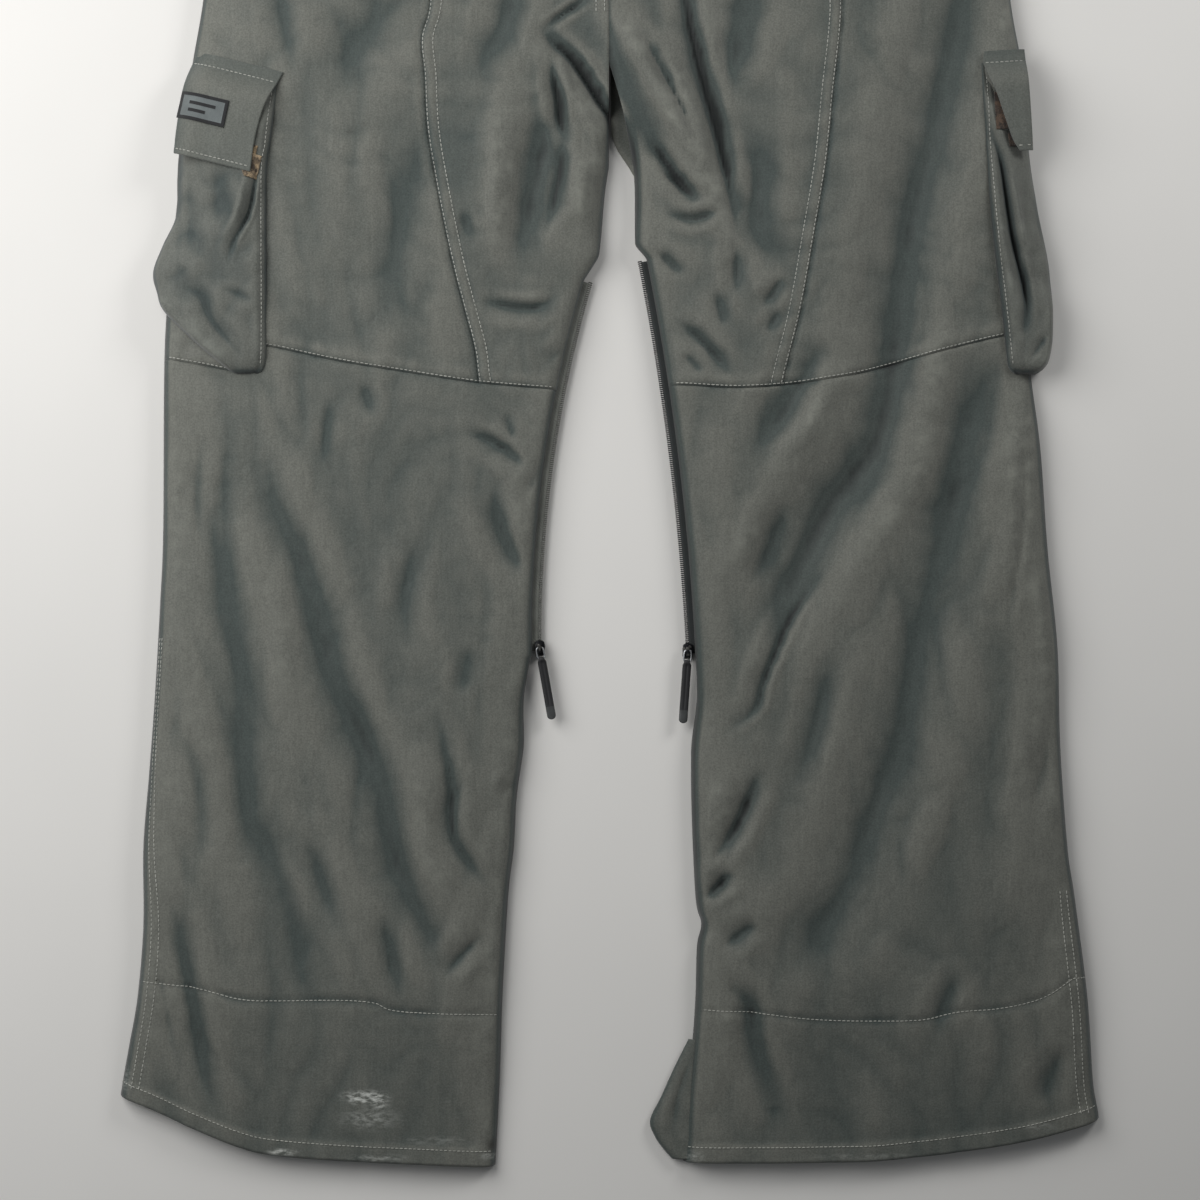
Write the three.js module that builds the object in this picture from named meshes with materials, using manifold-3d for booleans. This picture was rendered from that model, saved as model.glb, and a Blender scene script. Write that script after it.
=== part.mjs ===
// Cargo snow trousers lying flat on their front, in millimetres.
// +X is the wearer's right, +Y points to the waist, +Z is up. Y starts at the hem.
import * as THREE from "three";
import Module from "manifold-3d";

const wasm = await Module();
wasm.setup();

// ---- sizes that set the shape ----
const CLOTH = 2.4; // padded outer cloth with its lining
const SEAM = 0.9; // clearance between two panels at a seam
const GAP = 0.35; // clearance between pieces that lie on each other
const LEG_RISE = 17; // underside of the back layer over the table, mid leg
const HEM_RISE = 12; // the same at the hem
const EDGE_ROUND = 34; // width over which a leg's side rounds off
const OUTER_EDGE = CLOTH + 0.4; // underside of the back layer at the outer side fold
const INNER_EDGE = CLOTH + 4; // the same at the inner leg, where the zip tapes lie
const BAND_TOP = 1075; // top of the waistband
const BAND_HEIGHT = 40;
const BAND_BOTTOM = BAND_TOP - BAND_HEIGHT; // seam under the waistband
const KNEE = 560; // mean height of the knee seams
const BAND_CLOTH = 3; // thickness of the waistband
const BACK_BAND_Z = 15.5; // underside of the back waistband
const FRONT_BAND_Z = 1.8; // underside of the front waistband
const CROTCH = 791; // height of the crotch over the hem
const STITCH_ROW = 105; // row that holds the inner gaiter, over the hem
const GAITER_HEIGHT = 60;
const GAITER_WALL = 1.2;
const GAITER_TALL = HEM_RISE - CLOTH - 1.2; // fits between the two leg layers with a little slack
const POCKET_TALL = 8.2; // how far a cargo pocket stands off the thigh
const POCKET_WALL = 1.5;
const FLAP_CLOTH = 1.8;
const FLAP_LENGTH = 74;
const FLAP_STEP = 1; // clearance between flap and pocket, for the fastening strips
const STRIP = 0.9; // thickness of one fastening strip
const TAPE = 1; // zip tape thickness
const TAPE_WIDTH = 14;
const COIL_WIDTH = 3.6;
const COIL_TALL = 3;
const SLIDER_LENGTH = 10;
const SLIDER_WALL = 1.2;
const PULL_LENGTH = 46;
const PULL_WIDTH = 6;
const PULL_CLOTH = 2.6;
const ZIP_CLEAR = { left: 7, right: 4 }; // how far the leg panels end short of a vent; more where it curves more
const FLY_BOTTOM = 850;
const FLY_HALF = 6; // half the width of the slot between the front panels
const FLY_TAPE_WIDTH = 15;
const LOOP_WIDTH = 11;
const LOOP_CLOTH = 1.4;

// Outlines: [Y, X] pairs, read straight between the points.
const LEFT_OUTER = [
  [0, -350], [50, -344], [85, -338], [120, -332], [225, -327], [330, -320],
  [435, -314], [600, -311], [700, -302], [766, -295], [820, -286],
  [900, -276], [980, -256], [1080, -228],
];
const RIGHT_OUTER = [
  [0, 348], [35, 344], [85, 339], [120, 336], [190, 328], [260, 320],
  [365, 316], [470, 306], [540, 298], [600, 296], [700, 294], [766, 291],
  [820, 283], [900, 275], [980, 256], [1080, 228],
];
const LEFT_INNER = [
  [0, -80], [120, -75], [190, -71], [260, -65], [330, -56], [360, -51],
];
const RIGHT_INNER = [
  [0, 56], [100, 60], [190, 63], [260, 60], [330, 58], [358, 56],
];
const LEFT_THIGH_SEAM = [
  [540, -89], [575, -94], [602, -101], [637, -110], [686, -120], [728, -127],
  [766, -129], [820, -125], [900, -126], [1080, -132],
];
const RIGHT_THIGH_SEAM = [
  [540, 121], [602, 134], [658, 144], [707, 152], [756, 160], [801, 164],
  [820, 155], [900, 146], [1080, 138],
];
// [X, Y] pairs.
const LEFT_KNEE = [
  [-312, 572], [-239, 574], [-188, 566], [-132, 554], [-90, 549], [-30, 547],
];
const RIGHT_KNEE = [
  [50, 549], [88, 547], [122, 549], [169, 556], [204, 565], [274, 583], [312, 590],
];
const LEFT_HEM = [
  [-350, 53], [-321, 42], [-290, 28], [-258, 15], [-237, 10], [-190, 6], [-80, 1],
];
const RIGHT_HEM = [
  [52, 4], [170, 5], [212, 8], [246, 12], [290, 19], [326, 27], [348, 36],
];

// The two inner-leg zips run on arcs, so that each slider keeps to its coil.
const VENTS = {
  left: { from: [-50, 360], to: [-13, 626], radius: 888, out: 1 },
  right: { from: [57, 358], to: [22, 641], radius: 1942, out: -1 },
};

// ---- colours ----
const paint = (color, roughness = 0.9, metalness = 0) =>
  new THREE.MeshStandardMaterial({ color, roughness, metalness });
const CLOTH_PAINT = 0x5b5d58;
const LINING_PAINT = 0x3f4443;
const BLACK_PAINT = 0x17181a;

const group = new THREE.Group();
group.name = "trousers";

function add(name, geometry, color = CLOTH_PAINT, roughness = 0.9, metalness = 0) {
  const mesh = new THREE.Mesh(geometry, paint(color, roughness, metalness));
  mesh.name = name;
  group.add(mesh);
  return mesh;
}

// ---- small tools ----
const mix = (a, b, t) => a + (b - a) * t;
const clamp = (t) => Math.min(Math.max(t, 0), 1);
const smooth = (t) => clamp(t) ** 2 * (3 - 2 * clamp(t));

function along(points, t) {
  if (t <= points[0][0]) return points[0][1];
  for (let i = 1; i < points.length; i += 1) {
    const [t0, v0] = points[i - 1];
    const [t1, v1] = points[i];
    if (t <= t1) return mix(v0, v1, (t - t0) / (t1 - t0));
  }
  return points[points.length - 1][1];
}

// Centre, radius and end angles of a vent's arc.
function arcOf({ from, to, radius, out }) {
  const a = new THREE.Vector2(...from);
  const b = new THREE.Vector2(...to);
  const half = a.distanceTo(b) / 2;
  const side = new THREE.Vector2(b.y - a.y, a.x - b.x).normalize().multiplyScalar(out);
  const centre = a.clone().add(b).multiplyScalar(0.5);
  centre.addScaledVector(side, Math.sqrt(radius ** 2 - half ** 2));
  return { centre, radius, start: a.sub(centre).angle(), end: b.sub(centre).angle() };
}
const ARCS = { left: arcOf(VENTS.left), right: arcOf(VENTS.right) };

// X of a vent's arc at height y.
function ventX(side, y) {
  const { centre, radius } = ARCS[side];
  const reach = Math.sqrt(radius ** 2 - (y - centre.y) ** 2);
  return centre.x - VENTS[side].out * reach;
}

const BODY_OUTER = { left: LEFT_OUTER, right: RIGHT_OUTER };
const outerX = (side, y) => along(BODY_OUTER[side], y);

function innerX(side, y) {
  const sign = side === "left" ? -1 : 1;
  const { from, to } = VENTS[side];
  if (y < from[1]) return along(side === "left" ? LEFT_INNER : RIGHT_INNER, y);
  if (y < to[1]) return ventX(side, y);
  const t = clamp((y - to[1]) / (CROTCH - to[1]));
  return mix(to[0], (sign * SEAM) / 2, Math.min(1, t * 1.6));
}

// Height of the back layer's underside over the table.
function underZ(side, x, y) {
  const round = (d) => Math.sqrt(1 - (1 - clamp(d / EDGE_ROUND)) ** 2);
  const fromOuter = Math.abs(x - outerX(side, y));
  const fromInner = Math.abs(x - innerX(side, y));
  const seat = smooth((y - CROTCH + 40) / 70);
  const full = mix(HEM_RISE, LEG_RISE, smooth((y - 120) / 100));
  const waist = mix(full, BACK_BAND_Z, smooth((y - 940) / 95));
  const inner = mix(round(fromInner), 1, seat);
  if (fromOuter < fromInner) return mix(OUTER_EDGE, waist, round(fromOuter));
  return mix(INNER_EDGE, waist, inner);
}

// ---- cloth sheets ----
// A box is bent into a sheet: left and right give X for a Y, bottom and top give Y for an X.
function sheet({ left, right, bottom, top, low, high, across, lengthwise, ease }) {
  const geometry = new THREE.BoxGeometry(1, 1, 1, across, lengthwise, 1);
  const place = geometry.attributes.position;
  const spread = ease ?? ((u) => u);
  for (let i = 0; i < place.count; i += 1) {
    const u = spread(place.getX(i) + 0.5);
    const v = place.getY(i) + 0.5;
    let y = mix(bottom(0), top(0), v);
    let x = 0;
    for (let turn = 0; turn < 6; turn += 1) {
      x = mix(left(y), right(y), u);
      y = mix(bottom(x), top(x), v);
    }
    place.setXYZ(i, x, y, place.getZ(i) > 0 ? high(x, y) : low(x, y));
  }
  geometry.computeVertexNormals();
  return geometry;
}

const bothSides = (u) => 0.5 - 0.5 * Math.cos(Math.PI * u);
const leftSide = (u) => u ** 1.7;
const rightSide = (u) => 1 - (1 - u) ** 1.7;

// Left and right edges of a panel that lies between two named lines.
function between(side, lineA, lineB) {
  const a = (y) => lineA(side, y);
  const b = (y) => lineB(side, y);
  return side === "left" ? { left: a, right: b } : { left: b, right: a };
}

const shifted = (line, amount) => (side, y) =>
  line(side, y) + (side === "left" ? amount : -amount);

const seamX = (side, y) =>
  along(side === "left" ? LEFT_THIGH_SEAM : RIGHT_THIGH_SEAM, y);
const kneeY = (side, x) => along(side === "left" ? LEFT_KNEE : RIGHT_KNEE, x);
const hemY = (side, x) => along(side === "left" ? LEFT_HEM : RIGHT_HEM, x);

function backSheet(name, side, edges, bottom, top, counts) {
  const low = (x, y) => underZ(side, x, y);
  const high = (x, y) => underZ(side, x, y) + CLOTH;
  add(name, sheet({ ...edges, bottom, top, low, high, ...counts }));
}

function frontSheet(name, side, edges, bottom, top, counts) {
  add(name, sheet({ ...edges, bottom, top, low: () => 0, high: () => CLOTH, ...counts }));
}

// Both layers end short of the zip, so that its slider and pull pass them.
function besideZip(side, y) {
  const near = smooth((y - 270) / 40) * smooth((CROTCH - y) / 60);
  return innerX(side, y) + (side === "left" ? -1 : 1) * ZIP_CLEAR[side] * near;
}

// The front panels leave a slot for the fly.
function frontInner(side, y) {
  const fly = smooth((y - FLY_BOTTOM + 12) / 8) * FLY_HALF;
  if (y > CROTCH) return (side === "left" ? -1 : 1) * (SEAM / 2 + fly);
  return besideZip(side, y);
}

function addPanels(side) {
  const outward = side === "left" ? leftSide : rightSide;
  const inward = side === "left" ? rightSide : leftSide;
  const knee = (x) => kneeY(side, x);
  const overKnee = (x) => knee(x) + SEAM / 2;
  const underKnee = (x) => knee(x) - SEAM / 2;
  const waist = () => BAND_BOTTOM - SEAM;
  const rows = (pitch) => Math.round((BAND_BOTTOM - KNEE) / pitch);
  const hem = (x) => hemY(side, x);
  backSheet(
    `${side}_back_outer_thigh`, side, between(side, outerX, shifted(seamX, -SEAM / 2)),
    overKnee, waist, { across: 8, lengthwise: rows(34), ease: outward },
  );
  backSheet(
    `${side}_back_inner_thigh`, side, between(side, shifted(seamX, SEAM / 2), besideZip),
    overKnee, waist, { across: 7, lengthwise: rows(26.4), ease: inward },
  );
  backSheet(
    `${side}_back_lower_leg`, side, between(side, outerX, besideZip),
    hem, underKnee, { across: 12, lengthwise: 14, ease: bothSides },
  );
  frontSheet(
    `${side}_front_thigh`, side, between(side, outerX, frontInner),
    overKnee, waist, { across: 4, lengthwise: rows(26.4) },
  );
  frontSheet(
    `${side}_front_lower_leg`, side, between(side, outerX, frontInner),
    hem, underKnee, { across: 4, lengthwise: 12 },
  );
}

// ---- outlines turned into solids ----
function plate(points, z0, z1) {
  const shape = new THREE.Shape(points.map(([x, y]) => new THREE.Vector2(x, y)));
  const geometry = new THREE.ExtrudeGeometry(shape, { depth: z1 - z0, bevelEnabled: false });
  return geometry.translate(0, 0, z0);
}

function box(x0, x1, y0, y1, z0, z1) {
  const geometry = new THREE.BoxGeometry(x1 - x0, y1 - y0, z1 - z0);
  return geometry.translate((x0 + x1) / 2, (y0 + y1) / 2, (z0 + z1) / 2);
}

function toSolid(geometry) {
  const flat = geometry.index ? geometry.toNonIndexed() : geometry;
  const place = flat.attributes.position.array;
  const found = new Map();
  const verts = [];
  const triVerts = new Uint32Array(place.length / 3);
  for (let i = 0; i < place.length; i += 3) {
    const spot = [place[i], place[i + 1], place[i + 2]];
    const key = spot.map((value) => Math.round(value * 1e4)).join();
    if (!found.has(key)) {
      found.set(key, verts.length / 3);
      verts.push(...spot);
    }
    triVerts[i / 3] = found.get(key);
  }
  const vertProperties = new Float32Array(verts);
  return new wasm.Manifold(new wasm.Mesh({ numProp: 3, vertProperties, triVerts }));
}

function toGeometry(solid) {
  const { vertProperties, triVerts } = solid.getMesh();
  const geometry = new THREE.BufferGeometry();
  geometry.setAttribute("position", new THREE.BufferAttribute(vertProperties, 3));
  geometry.setIndex(new THREE.BufferAttribute(triVerts, 1));
  geometry.computeVertexNormals();
  return geometry;
}

// ---- inner gaiters and hem gussets ----
function ringShape(width, tall, wall) {
  const oval = (w, h, r) => {
    const path = new THREE.Path();
    path.moveTo(-w / 2 + r, -h / 2);
    path.lineTo(w / 2 - r, -h / 2);
    path.absarc(w / 2 - r, 0, r, -Math.PI / 2, Math.PI / 2);
    path.lineTo(-w / 2 + r, h / 2);
    path.absarc(-w / 2 + r, 0, r, Math.PI / 2, Math.PI * 1.5);
    return path;
  };
  const shape = new THREE.Shape(oval(width, tall, tall / 2).getPoints(5));
  shape.holes.push(oval(width - 2 * wall, tall - 2 * wall, tall / 2 - wall));
  return shape;
}

function addGaiter(side, x0, x1) {
  const shape = ringShape(x1 - x0, GAITER_TALL, GAITER_WALL);
  const settings = { depth: GAITER_HEIGHT, bevelEnabled: false, curveSegments: 5 };
  const geometry = new THREE.ExtrudeGeometry(shape, settings);
  geometry.rotateX(Math.PI / 2);
  const z = CLOTH + GAP + GAITER_TALL / 2;
  geometry.translate((x0 + x1) / 2, STITCH_ROW, z);
  add(`${side}_gaiter`, geometry, LINING_PAINT);
}

// The right hem is slit at the inner leg and its gusset shows; the left one is folded in.
const RIGHT_GUSSET = [[66, 6], [66, 90], [54, 88], [30, 33], [36, 22], [44, 13], [54, 6]];
const LEFT_GUSSET = [[-93, 5], [-93, 66], [-81, 86], [-82, 5]];

// ---- cargo pockets ----
const POCKETS = {
  left: {
    bag: [
      [-239, 737], [-302, 737], [-305, 714], [-304, 690], [-312, 662],
      [-321, 630], [-313, 602], [-268, 562], [-250, 557], [-239, 564],
    ],
    axis: [[-289, 783], [-227, 767]],
    strips: [-284, -244],
  },
  right: {
    bag: [
      [262, 737], [267, 665], [276, 588], [279, 563], [293, 560], [302, 563],
      [309, 574], [311, 588], [311, 630], [303, 672], [297, 712], [297, 737],
    ],
    axis: [[256, 781], [288, 785]],
    strips: [268, 288],
  },
};

const plateauTop = LEG_RISE + CLOTH;
const bagRoof = plateauTop + POCKET_TALL;

// The thigh as one block, a little proud, to cut what lies on it to its shape.
function thighBlock(side) {
  const edge = (s, y) => outerX(s, y) + (s === "left" ? -1 : 1) * (GAP + 0.3);
  const geometry = sheet({
    ...between(side, edge, shifted(outerX, 110)),
    bottom: () => 540,
    top: () => 760,
    low: () => -5,
    high: (x, y) => underZ(side, x, y) + CLOTH + GAP + 0.25,
    across: 12,
    lengthwise: 22,
    ease: side === "left" ? leftSide : rightSide,
  });
  return toSolid(geometry);
}

// Points of a closed outline moved inwards by a wall, the mouth edge left open.
function inset(points, wall) {
  const cx = points.reduce((sum, [x]) => sum + x, 0) / points.length;
  const cy = points.reduce((sum, [, y]) => sum + y, 0) / points.length;
  const halfX = Math.max(...points.map(([x]) => Math.abs(x - cx)));
  const halfY = Math.max(...points.map(([, y]) => Math.abs(y - cy)));
  const topY = Math.max(...points.map(([, y]) => y));
  return points.map(([x, y]) => [
    cx + (x - cx) * (1 - (1.25 * wall) / halfX),
    y === topY ? y + 5 : cy + (y - cy) * (1 - (1.25 * wall) / halfY),
  ]);
}

function addPocket(side) {
  const { bag } = POCKETS[side];
  const outer = toSolid(plate(bag, 3.2, bagRoof));
  const hollow = toSolid(plate(inset(bag, POCKET_WALL), 3, bagRoof - POCKET_WALL));
  const body = outer.subtract(hollow).subtract(thighBlock(side));
  const parts = body.decompose().sort((a, b) => b.volume() - a.volume());
  add(`${side}_pocket_bag`, toGeometry(parts[0]));
}

// A frame on the flap's sewn edge: U runs along the edge, S from the edge to the free end.
function flapFrame(side) {
  const [a, b] = POCKETS[side].axis.map(([x, y]) => new THREE.Vector2(x, y));
  const u = b.clone().sub(a).normalize();
  const s = new THREE.Vector2(u.y, -u.x);
  return { a, b, u, s, width: a.distanceTo(b) };
}

// Rise of the flap's underside over the thigh at distance s from the sewn edge.
function flapLift(s) {
  return GAP + (POCKET_TALL + FLAP_STEP + GAP) * smooth(s / 24);
}

function onFlap(side, uAmount, sAmount) {
  const { a, u, s } = flapFrame(side);
  return a.clone().addScaledVector(u, uAmount).addScaledVector(s, sAmount);
}

function flapSheet(side, u0, u1, s0, s1, lowest, thick, counts) {
  const geometry = new THREE.BoxGeometry(1, 1, 1, counts[0], counts[1], 1);
  const place = geometry.attributes.position;
  for (let i = 0; i < place.count; i += 1) {
    const s = mix(s1, s0, place.getY(i) + 0.5);
    const u = mix(u0, u1, place.getX(i) + 0.5);
    const spot = onFlap(side, u, s);
    const low = plateauTop + flapLift(s) + lowest;
    place.setXYZ(i, spot.x, spot.y, place.getZ(i) > 0 ? low + thick : low);
  }
  geometry.computeVertexNormals();
  return geometry;
}

function addFlap(side) {
  const { width } = flapFrame(side);
  const end = FLAP_LENGTH;
  add(`${side}_pocket_flap`, flapSheet(side, 0, width, 0, end, 0, FLAP_CLOTH, [2, 10]));
  const hook = flapSheet(side, 6, width - 6, end - 20, end - 6, -STRIP - 0.3, STRIP, [1, 1]);
  add(`${side}_flap_hook_strip`, hook, 0x6b5f4c);
}

// The loop strip lies on the bag's roof under the flap's free end.
function addLoopStrip(side) {
  const [x0, x1] = POCKETS[side].strips;
  const z = bagRoof + GAP;
  const y0 = side === "left" ? 704 : 700;
  add(`${side}_pocket_loop_strip`, plate(
    [[x0, y0 - 16], [x1, y0 - 16], [x1, y0 - 4], [x0, y0 - 4]], z, z + STRIP,
  ), 0x7a6a50);
}

// ---- inner-leg zips ----
// A strip along the vent's arc: from and to are distances out from the arc, away from the leg.
function arcStrip(side, from, to, z0, z1, t0, t1, steps) {
  const { centre, radius, start, end } = ARCS[side];
  const spot = (t, reach) => {
    const angle = mix(start, end, t);
    const r = radius - reach;
    return [centre.x + r * Math.cos(angle), centre.y + r * Math.sin(angle)];
  };
  const inner = [];
  const outer = [];
  for (let i = 0; i <= steps; i += 1) {
    const t = mix(t0, t1, i / steps);
    inner.push(spot(t, from));
    outer.push(spot(t, to));
  }
  return plate([...inner, ...outer.reverse()], z0, z1);
}

const COIL_Z = 3.1;
const FRONT_TAPE_Z = CLOTH + GAP;
const BACK_TAPE_Z = COIL_Z + COIL_TALL - TAPE - 0.3;

function addVent(side) {
  const { radius } = ARCS[side];
  const reach = COIL_WIDTH;
  const ends = [0.012, 0.988];
  add(`${side}_vent_front_tape`,
    arcStrip(side, -TAPE_WIDTH, -0.6, FRONT_TAPE_Z, FRONT_TAPE_Z + TAPE, ...ends, 10), 0x26282a);
  add(`${side}_vent_back_tape`,
    arcStrip(side, -TAPE_WIDTH, -0.6, BACK_TAPE_Z, BACK_TAPE_Z + TAPE, ...ends, 10), 0x26282a);
  add(`${side}_vent_coil`,
    arcStrip(side, -0.2, reach, COIL_Z, COIL_Z + COIL_TALL, 0, 1, 14), BLACK_PAINT, 0.5);
  const half = SLIDER_LENGTH / radius / Math.abs(ARCS[side].end - ARCS[side].start);
  const z0 = COIL_Z - GAP - SLIDER_WALL;
  const z1 = COIL_Z + COIL_TALL + GAP + SLIDER_WALL;
  const body = toSolid(arcStrip(side, -2.6, reach + GAP + SLIDER_WALL, z0, z1, 0, half, 2));
  const slot = toSolid(arcStrip(
    side, -4, reach + GAP, COIL_Z - GAP, COIL_Z + COIL_TALL + GAP, -half, half * 2, 6,
  ));
  const bridge = bridgeOver(side, half, z1);
  add(`${side}_vent_slider`, toGeometry(body.subtract(slot).add(bridge)), 0x54565a, 0.4, 0.8);
  addPull(side, half, z1);
}

// Middle of the slider at the coil, and the direction along the zip towards its end.
function sliderSpot(side, half) {
  const { centre, radius, start, end } = ARCS[side];
  const angle = mix(start, end, half / 2);
  const r = radius - COIL_WIDTH / 2;
  const spot = new THREE.Vector2(centre.x + r * Math.cos(angle), centre.y + r * Math.sin(angle));
  return spot;
}

const PULL_TURN = { left: 10, right: -4 }; // degrees outwards from straight down
const PULL_DROP = 1; // degrees the pull hangs below level, so that it rides over the coil
const RING_LIFT = 0.7;
const RING_WIRE = 1.2;
const BRIDGE_SPAN = 6;

// Two posts and a bar on top of the slider, which hold the wire ring.
function bridgeOver(side, half, z1) {
  const spot = sliderSpot(side, half);
  const frame = box(-1, 1, -BRIDGE_SPAN / 2, BRIDGE_SPAN / 2, -0.2, 3.7);
  const hole = box(-2, 2, -BRIDGE_SPAN / 2 + 1.1, BRIDGE_SPAN / 2 - 1.1, 0.1, 2.7);
  const bridge = toSolid(frame).subtract(toSolid(hole));
  return bridge.translate([spot.x, spot.y, z1]);
}

// Wire ring through the bridge, and the flat tab that hangs from it.
function addPull(side, half, z1) {
  const spot = sliderSpot(side, half);
  const corners = (x, y0, y1) => [[-x, y1], [-x, y0], [x, y0], [x, y1]];
  const ring = toSolid(plate(corners(3.2, -9, 1.2), 0, RING_WIRE)).subtract(
    toSolid(plate(corners(1.9, -7.8, 0), -1, RING_WIRE + 1)),
  );
  const tab = toSolid(new THREE.ExtrudeGeometry(tabOutline(), {
    depth: PULL_CLOTH, bevelEnabled: false,
  }));
  const slot = toSolid(box(-4, 4, -9.4, -7.4, RING_LIFT - 0.3, RING_LIFT + RING_WIRE + 0.3));
  const sides = [box(1.5, 4, -7.5, -5, -1, 4), box(-4, -1.5, -7.5, -5, -1, 4)].map(toSolid);
  const hang = (solid, lift) => solid
    .translate([0, -0.6, lift])
    .rotate([PULL_DROP, 0, PULL_TURN[side]])
    .translate([spot.x, spot.y + 0.6, z1 + 0.3]);
  add(`${side}_vent_pull_ring`, toGeometry(hang(ring, RING_LIFT)), 0x9a9ca0, 0.3, 0.9);
  const cut = sides.reduce((left, side) => left.subtract(side), tab.subtract(slot));
  add(`${side}_vent_pull_tab`, toGeometry(hang(cut, 0)), 0x1b1c1e, 0.7);
}

// A flat tab with a round end, hung from the ring's lower bar.
function tabOutline() {
  const half = PULL_WIDTH / 2;
  const shape = new THREE.Shape();
  shape.moveTo(-half, -6);
  shape.lineTo(-half, -5.2 - PULL_LENGTH + half);
  shape.absarc(0, -5.2 - PULL_LENGTH + half, half, Math.PI, 2 * Math.PI);
  shape.lineTo(half, -6);
  shape.closePath();
  return shape;
}

// ---- waistband, fly and fastening ----
function bandEdges(x0, x1) {
  return { left: x0, right: x1, bottom: () => BAND_BOTTOM, top: () => BAND_TOP };
}

function addWaist() {
  const outerL = (y) => outerX("left", y);
  const outerR = (y) => outerX("right", y);
  const backLow = (x, y) => {
    const d = Math.min(x - outerL(y), outerR(y) - x);
    return mix(FRONT_BAND_Z + BAND_CLOTH + GAP, BACK_BAND_Z,
      Math.sqrt(1 - (1 - clamp(d / EDGE_ROUND)) ** 2));
  };
  add("waistband_back", sheet({
    ...bandEdges(outerL, outerR), low: backLow,
    high: (x, y) => backLow(x, y) + BAND_CLOTH, across: 18, lengthwise: 2, ease: bothSides,
  }), 0x4c4f4c);
  const level = (z) => ({ low: () => z, high: () => z + BAND_CLOTH });
  add("waistband_front_left", sheet({
    ...bandEdges(outerL, () => 22), ...level(FRONT_BAND_Z), across: 2, lengthwise: 2,
  }), 0x4c4f4c);
  const lapZ = (x) => FRONT_BAND_Z + (BAND_CLOTH + 2) * smooth((52 - x) / 24);
  add("waistband_front_right", sheet({
    ...bandEdges(() => -18, outerR), low: lapZ, high: (x) => lapZ(x) + BAND_CLOTH,
    across: 16, lengthwise: 2, ease: (u) => u ** 1.4,
  }), 0x4c4f4c);
}

function addSnap() {
  const middle = (BAND_TOP + BAND_BOTTOM) / 2;
  const disc = (radius, z0, z1) => {
    const geometry = new THREE.CylinderGeometry(radius, radius, z1 - z0, 28);
    return geometry.rotateX(Math.PI / 2).translate(0, middle, (z0 + z1) / 2);
  };
  add("waist_snap_cap", disc(7.5, 0.1, FRONT_BAND_Z - 0.3), 0x5a5c60, 0.35, 0.9);
  add("waist_snap_socket",
    disc(6, FRONT_BAND_Z + BAND_CLOTH + 0.3, FRONT_BAND_Z + BAND_CLOTH + 1.7), 0x5a5c60, 0.35, 0.9);
}

function addFly() {
  const top = BAND_BOTTOM - 3;
  const tapeZ = CLOTH + GAP;
  [["left", -1], ["right", 1]].forEach(([side, sign]) => {
    const xs = [sign * 1.9, sign * (1.9 + FLY_TAPE_WIDTH)].sort((a, b) => a - b);
    add(`fly_tape_${side}`,
      box(...xs, FLY_BOTTOM - 6, top, tapeZ, tapeZ + TAPE), 0x26282a);
  });
  add("fly_coil", box(-1.5, 1.5, FLY_BOTTOM, top - 6, 2.3, 4), BLACK_PAINT, 0.5);
  const tray = toSolid(box(-4.2, 4.2, top - 20, top - 8, 1.2, 2.45));
  const slot = toSolid(box(-1.9, 1.9, top - 30, top, 1.95, 3));
  const neck = toSolid(box(-1.5, 1.5, top - 16, top - 11, 0.3, 1.4));
  const thumb = toSolid(box(-2.5, 2.5, top - 34, top - 10, 0.1, 0.9));
  const slider = tray.subtract(slot).add(neck).add(thumb);
  add("fly_slider", toGeometry(slider), 0x54565a, 0.4, 0.8);
}

function addBeltLoops() {
  const y0 = BAND_BOTTOM - 6;
  const y1 = BAND_TOP - 2;
  const backZ = BACK_BAND_Z + BAND_CLOTH + GAP;
  [["back_left", -128], ["back_centre", 0], ["back_right", 128]].forEach(([name, x]) => {
    const half = LOOP_WIDTH / 2;
    add(`belt_loop_${name}`, box(x - half, x + half, y0, y1, backZ, backZ + LOOP_CLOTH));
  });
  [["front_left", -120], ["front_right", 120]].forEach(([name, x]) => {
    const half = LOOP_WIDTH / 2;
    add(`belt_loop_${name}`,
      box(x - half, x + half, BAND_BOTTOM + 2, y1, 0.05, 0.05 + LOOP_CLOTH));
  });
}

// ---- the label on the left flap ----
function addLabel() {
  const geometry = flapSheet("left", 7, 47, 46, 68, FLAP_CLOTH + 0.3, 0.8, [1, 1]);
  add("left_flap_label", geometry, 0x74787a, 0.7);
}

["left", "right"].forEach((side) => {
  addPanels(side);
  addPocket(side);
  addFlap(side);
  addLoopStrip(side);
  addVent(side);
});
addGaiter("left", -312, -98);
addGaiter("right", 82, 310);
add("right_hem_gusset", plate(RIGHT_GUSSET, CLOTH + GAP, CLOTH + GAP + 1.4));
add("left_hem_gusset", plate(LEFT_GUSSET, CLOTH + GAP, CLOTH + GAP + 1.4));
addLabel();
addWaist();
addSnap();
addFly();
addBeltLoops();

// The frame's origin is the middle of the underside.
const bounds = new THREE.Box3().setFromObject(group);
const centre = bounds.getCenter(new THREE.Vector3());
group.position.set(-centre.x, -centre.y, -bounds.min.z);

export default group;
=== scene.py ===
"""Cargo snow trousers lying flat on their front, laid out as a Blender add-on and run as a script."""
import math
from functools import partial

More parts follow.
